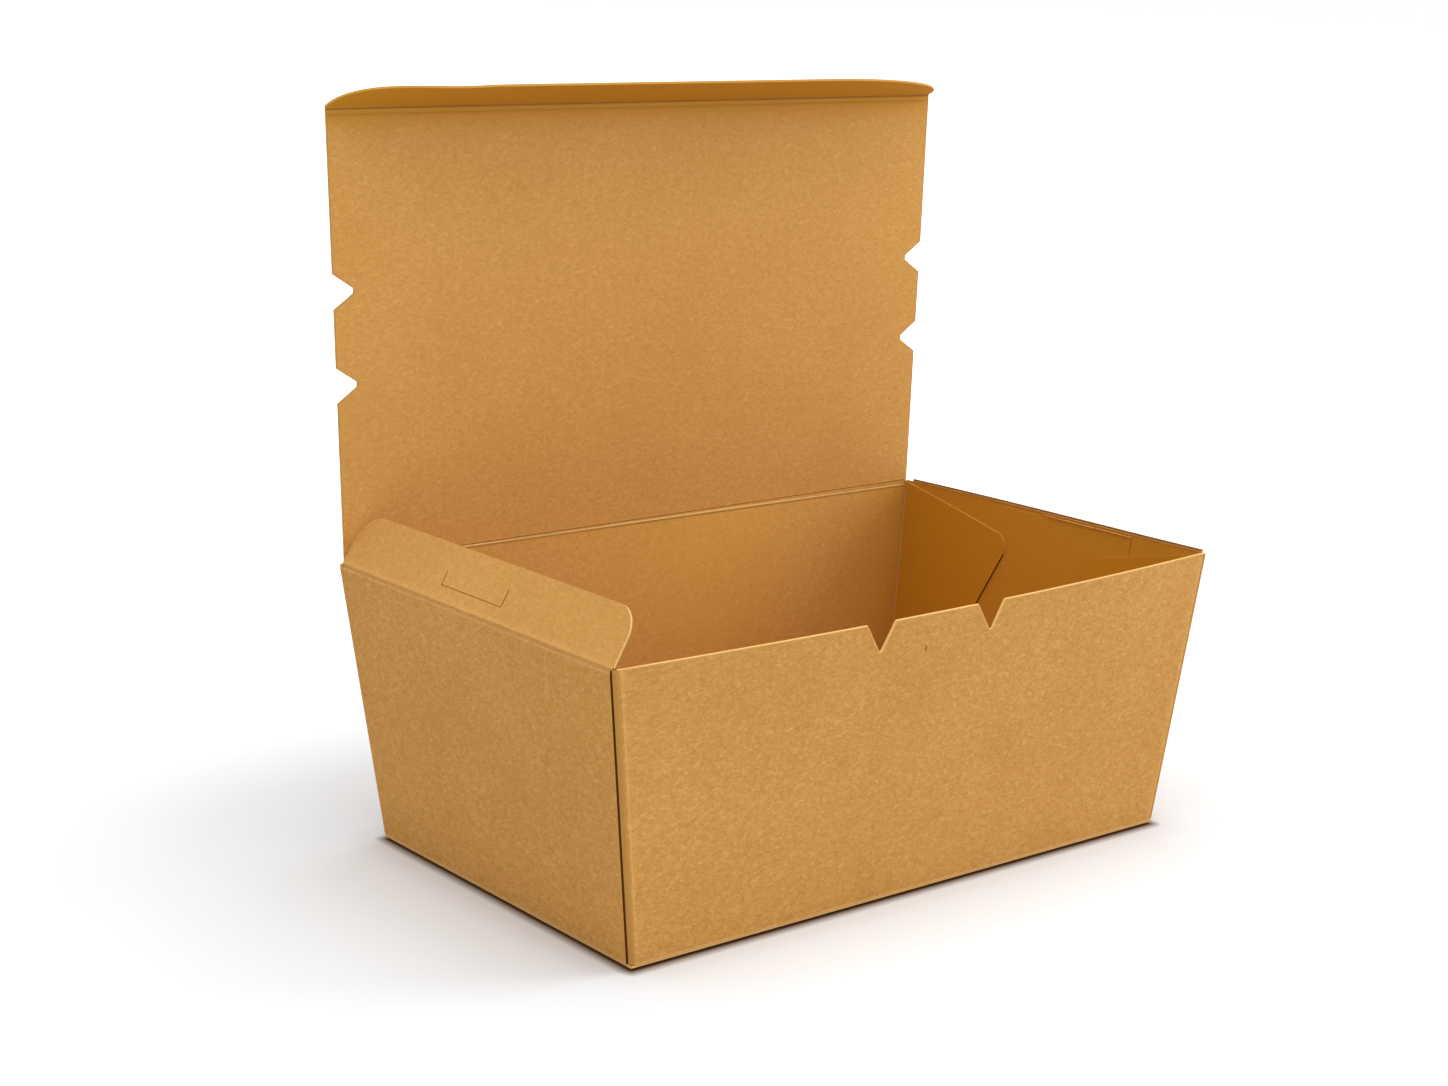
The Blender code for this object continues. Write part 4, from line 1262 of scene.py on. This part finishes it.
def side_flap(name, node, outward, half, bow=0.0, crease=None):
    """A side flap that runs outward from its fold, which may bow along X with the wall under it."""
    holes = slit_runs()
    cuts = grid_cuts(-FLAP_HALF_LENGTH, FLAP_HALF_LENGTH, 0.0, FLAP_WIDTH)
    for low_a, high_a, low_b, high_b in holes:
        for step in SLIT_STEPS:
            cuts += cuts_along((low_a - step, high_a + step)) + cuts_out((low_b - step, high_b + step))
    cuts += cuts_out(FLAP_CUTS)
    shape = flat_sheet(side_flap_outline(half), cuts, holes)
    flat = points_of(shape)
    fold = PIVOT[node + "_fold"]
    direction = Vector(outward)
    placed = np.array(fold)[None, :] + np.outer(flat[:, 1], np.array(direction))
    placed[:, 1] = flat[:, 0]
    placed[:, 2] += lift_of(placed)
    placed[:, 0] += bow_share(placed, bow)
    move_points(shape, placed)
    # Painted shade in the slit, a painted highlight on its lips, and pale along the fold: worn fibre with a
    # painted highlight
    crevice_shade = np.zeros(len(flat))
    lip = np.zeros(len(flat))
    for low_a, high_a, low_b, high_b in holes:
        outside = np.maximum(
            np.maximum(low_a - flat[:, 0], flat[:, 0] - high_a),
            np.maximum(low_b - flat[:, 1], flat[:, 1] - high_b))
        crevice_shade = np.maximum(crevice_shade, np.where(outside < EDGE_SHADE / 2, SLIT_CREVICE, 0.0))
        lip = np.maximum(lip, np.where(outside < SLIT_LIP, 1.0, 0.0))
    wear_and_highlight = np.maximum(FLAP_FOLD_WEAR_AND_HIGHLIGHT * fading(flat[:, 1], FLAP_STRIP_WIDTH), SLIT_LIP_HIGHLIGHT * lip)
    bent = (fold, fold + direction * FOLD_RUN) if bow else None
    board_piece(name + "_board", shape, np.zeros(len(flat)), wear_and_highlight, node, node, crevice_shade, fold=bent)
    steps = np.linspace(-half, half, BOW_STEPS + 1)
    line = np.column_stack((np.full(len(steps), fold.x), steps, np.full(len(steps), fold.z)))
    line[:, 2] += lift_of(line)
    line[:, 0] += bow_share(line, bow)
    lines = list(zip(line[:-1], line[1:]))
    bead_piece(name + "_crease", lines, FLUSH_BEAD_RADIUS, "tray" if bow else node, crease)


class BOX_OT_side_flaps(bpy.types.Operator):
    """Build the two side flaps: the left leans up and inward, the right lies along its wall's outside."""

    bl_idname = "takeaway_box.side_flaps"
    bl_label = "Side flaps"

    def execute(self, context):
        lean = math.radians(FLAP_LEAN_DEG)
        side_flap("left", "left_flap", (math.cos(lean), 0.0, math.sin(lean)), FLAP_HALF_LENGTH)
        down_wall = Vector((-SIDE_WALL_RUN, 0.0, -WALL_HEIGHT)).normalized()
        half = FLAP_HALF_LENGTH - RIGHT_FLAP_TRIM
        # The right fold's bead darkened: painted shade
        dark = shaded_crease_material("kraft_dark_crease", DARK_CREASE_SHADE)
        side_flap("right", "right_flap", down_wall, half, sizes().right_bow, dark)
        return {"FINISHED"}


def floor_material():
    """A pale floor that the camera sees as white, with the object's shadow, a painted shadow under the tray
    and a glow of painted light that grows away from it.
    """
    material = bpy.data.materials.new("floor_white")
    material.use_nodes = True
    tree = material.node_tree
    tree.nodes.clear()
    path = add_node(tree, "ShaderNodeLightPath").outputs
    seen = math_node(tree, "MAXIMUM", path["Is Camera Ray"], path["Is Glossy Ray"])
    place = add_node(tree, "ShaderNodeTexCoord").outputs["Object"]
    form = TrayForm()
    foot = (form.base_x, form.base_y, WALL_HEIGHT)
    place = vector_node(tree, "ABSOLUTE", place).outputs[0]
    place = vector_node(tree, "SUBTRACT", place, foot).outputs[0]
    place = vector_node(tree, "MAXIMUM", place).outputs[0]
    distance = vector_node(tree, "LENGTH", place).outputs["Value"]
    # Glow that the camera sees, rising with distance from the tray's foot: painted light that whitens the
    # floor and shortens the shadow
    near = map_range(tree, distance, 0.0, FLOOR_RIM, 0.0, FLOOR_GLOW)
    far = map_range(tree, distance, FLOOR_NEAR, FLOOR_FAR, 0.0, 1.0 - FLOOR_GLOW)
    strength = math_node(tree, "ADD", near, far)
    # Painted shadow under the tray, seen through the gap under its edges
    under = map_range(tree, distance, 0.0, UNDER_SHADOW_FADE, 1.0, 0.0)
    tint = mix_colours(tree, under, colours().floor, UNDER_SHADOW_COLOUR)
    matte = add_node(tree, "ShaderNodeBsdfDiffuse", {"Color": tint}).outputs[0]
    glow = add_node(tree, "ShaderNodeEmission", {"Color": WHITE, "Strength": strength}).outputs[0]
    both = add_node(tree, "ShaderNodeAddShader", {0: matte, 1: glow}).outputs[0]
    mix = add_node(tree, "ShaderNodeMixShader", {0: seen, 1: matte, 2: both}).outputs[0]
    tree.links.new(mix, add_node(tree, "ShaderNodeOutputMaterial").inputs["Surface"])
    return material


def build_world():
    """A soft even surround, white where the camera sees it."""
    world = bpy.context.scene.world or bpy.data.worlds.new("surround")
    bpy.context.scene.world = world
    world.use_nodes = True
    tree = world.node_tree
    tree.nodes.clear()
    path = add_node(tree, "ShaderNodeLightPath").outputs
    soft, white = (
        add_node(tree, "ShaderNodeBackground", {"Color": WHITE, "Strength": strength}).outputs[0]
        for strength in (WORLD_STRENGTH, 1.0))
    mix = add_node(tree, "ShaderNodeMixShader", {0: path["Is Camera Ray"], 1: soft, 2: white})
    tree.links.new(mix.outputs[0], add_node(tree, "ShaderNodeOutputWorld").inputs["Surface"])


def add_lamp(name, place, size, power):
    """A square softbox that faces the middle of the box."""
    lamp = bpy.data.lights.new(name, "AREA")
    lamp.shape = "SQUARE"
    lamp.size = size
    lamp.energy = power
    item = bpy.data.objects.new(name, lamp)
    item.location = place
    aim = Vector((0.0, 0.0, WALL_HEIGHT)) - Vector(place)
    item.rotation_euler = aim.to_track_quat("-Z", "Y").to_euler()
    bpy.context.scene.collection.objects.link(item)


def add_camera():
    """The camera at the photograph's viewing angle."""
    yaw, pitch, roll = (math.radians(x) for x in (CAMERA_YAW_DEG, CAMERA_PITCH_DEG, CAMERA_ROLL_DEG))
    back = Vector((math.sin(yaw) * math.cos(pitch), -math.cos(yaw) * math.cos(pitch), math.sin(pitch)))
    right = Vector((0.0, 0.0, 1.0)).cross(back).normalized()
    up = back.cross(right)
    turned_right = right * math.cos(roll) + up * math.sin(roll)
    turned_up = up * math.cos(roll) - right * math.sin(roll)
    camera = bpy.data.cameras.new("camera")
    camera.sensor_width = SENSOR_WIDTH_MM
    camera.lens = FOCAL_PIXELS * SENSOR_WIDTH_MM / IMAGE_WIDTH
    camera.clip_start, camera.clip_end = CAMERA_CLIP
    item = bpy.data.objects.new("camera", camera)
    turn = Matrix((turned_right, turned_up, back)).transposed().to_4x4()
    item.matrix_world = Matrix.Translation(CAMERA_PLACE) @ turn
    bpy.context.scene.collection.objects.link(item)
    bpy.context.scene.camera = item


class BOX_OT_stage(bpy.types.Operator):
    """Set up the floor, the surround, the lamps, the camera and the view settings."""

    bl_idname = "takeaway_box.stage"
    bl_label = "Stage"

    def execute(self, context):
        shape = bmesh.new()
        bmesh.ops.create_grid(shape, x_segments=FLOOR_CELLS, y_segments=FLOOR_CELLS, size=FLOOR_HALF)
        mesh = bpy.data.meshes.new("floor")
        shape.to_mesh(mesh)
        shape.free()
        mesh.materials.append(floor_material())
        mesh.transform(Matrix.Translation((0.0, 0.0, -BASE_SAG)))
        floor = bpy.data.objects.new("floor", mesh)
        context.scene.collection.objects.link(floor)
        build_world()
        for lamp in LAMPS:
            add_lamp(*lamp)
        add_camera()
        context.scene.view_settings.view_transform = "Standard"
        return {"FINISHED"}


OPERATORS = (BOX_OT_stage, BOX_OT_tray, BOX_OT_lid, BOX_OT_tuck_flap, BOX_OT_side_flaps)


class BOX_PT_panel(bpy.types.Panel):
    """The box's sizes, colours and building steps."""

    bl_idname = "BOX_PT_panel"
    bl_label = "Takeaway box"
    bl_space_type = "VIEW_3D"
    bl_region_type = "UI"
    bl_category = "Box"

    def draw(self, context):
        for group in (context.scene.takeaway_box_sizes, context.scene.takeaway_box_colours):
            column = self.layout.column()
            for name in group.__annotations__:
                column.prop(group, name)
        for operator in OPERATORS:
            self.layout.operator(operator.bl_idname)


CLASSES = (TakeawayBoxSizes, TakeawayBoxColours, *OPERATORS, BOX_PT_panel)


def register():
    """Add the classes and their settings to Blender."""
    for item in CLASSES:
        bpy.utils.register_class(item)
    bpy.types.Scene.takeaway_box_sizes = bpy.props.PointerProperty(type=TakeawayBoxSizes)
    bpy.types.Scene.takeaway_box_colours = bpy.props.PointerProperty(type=TakeawayBoxColours)


def unregister():
    """Take them out again."""
    del bpy.types.Scene.takeaway_box_colours
    del bpy.types.Scene.takeaway_box_sizes
    for item in reversed(CLASSES):
        bpy.utils.unregister_class(item)


def main():
    """Build everything in order."""
    register()
    bpy.ops.takeaway_box.stage()
    bpy.ops.takeaway_box.tray()
    bpy.ops.takeaway_box.lid()
    bpy.ops.takeaway_box.tuck_flap()
    bpy.ops.takeaway_box.side_flaps()


if __name__ == "__main__":
    main()
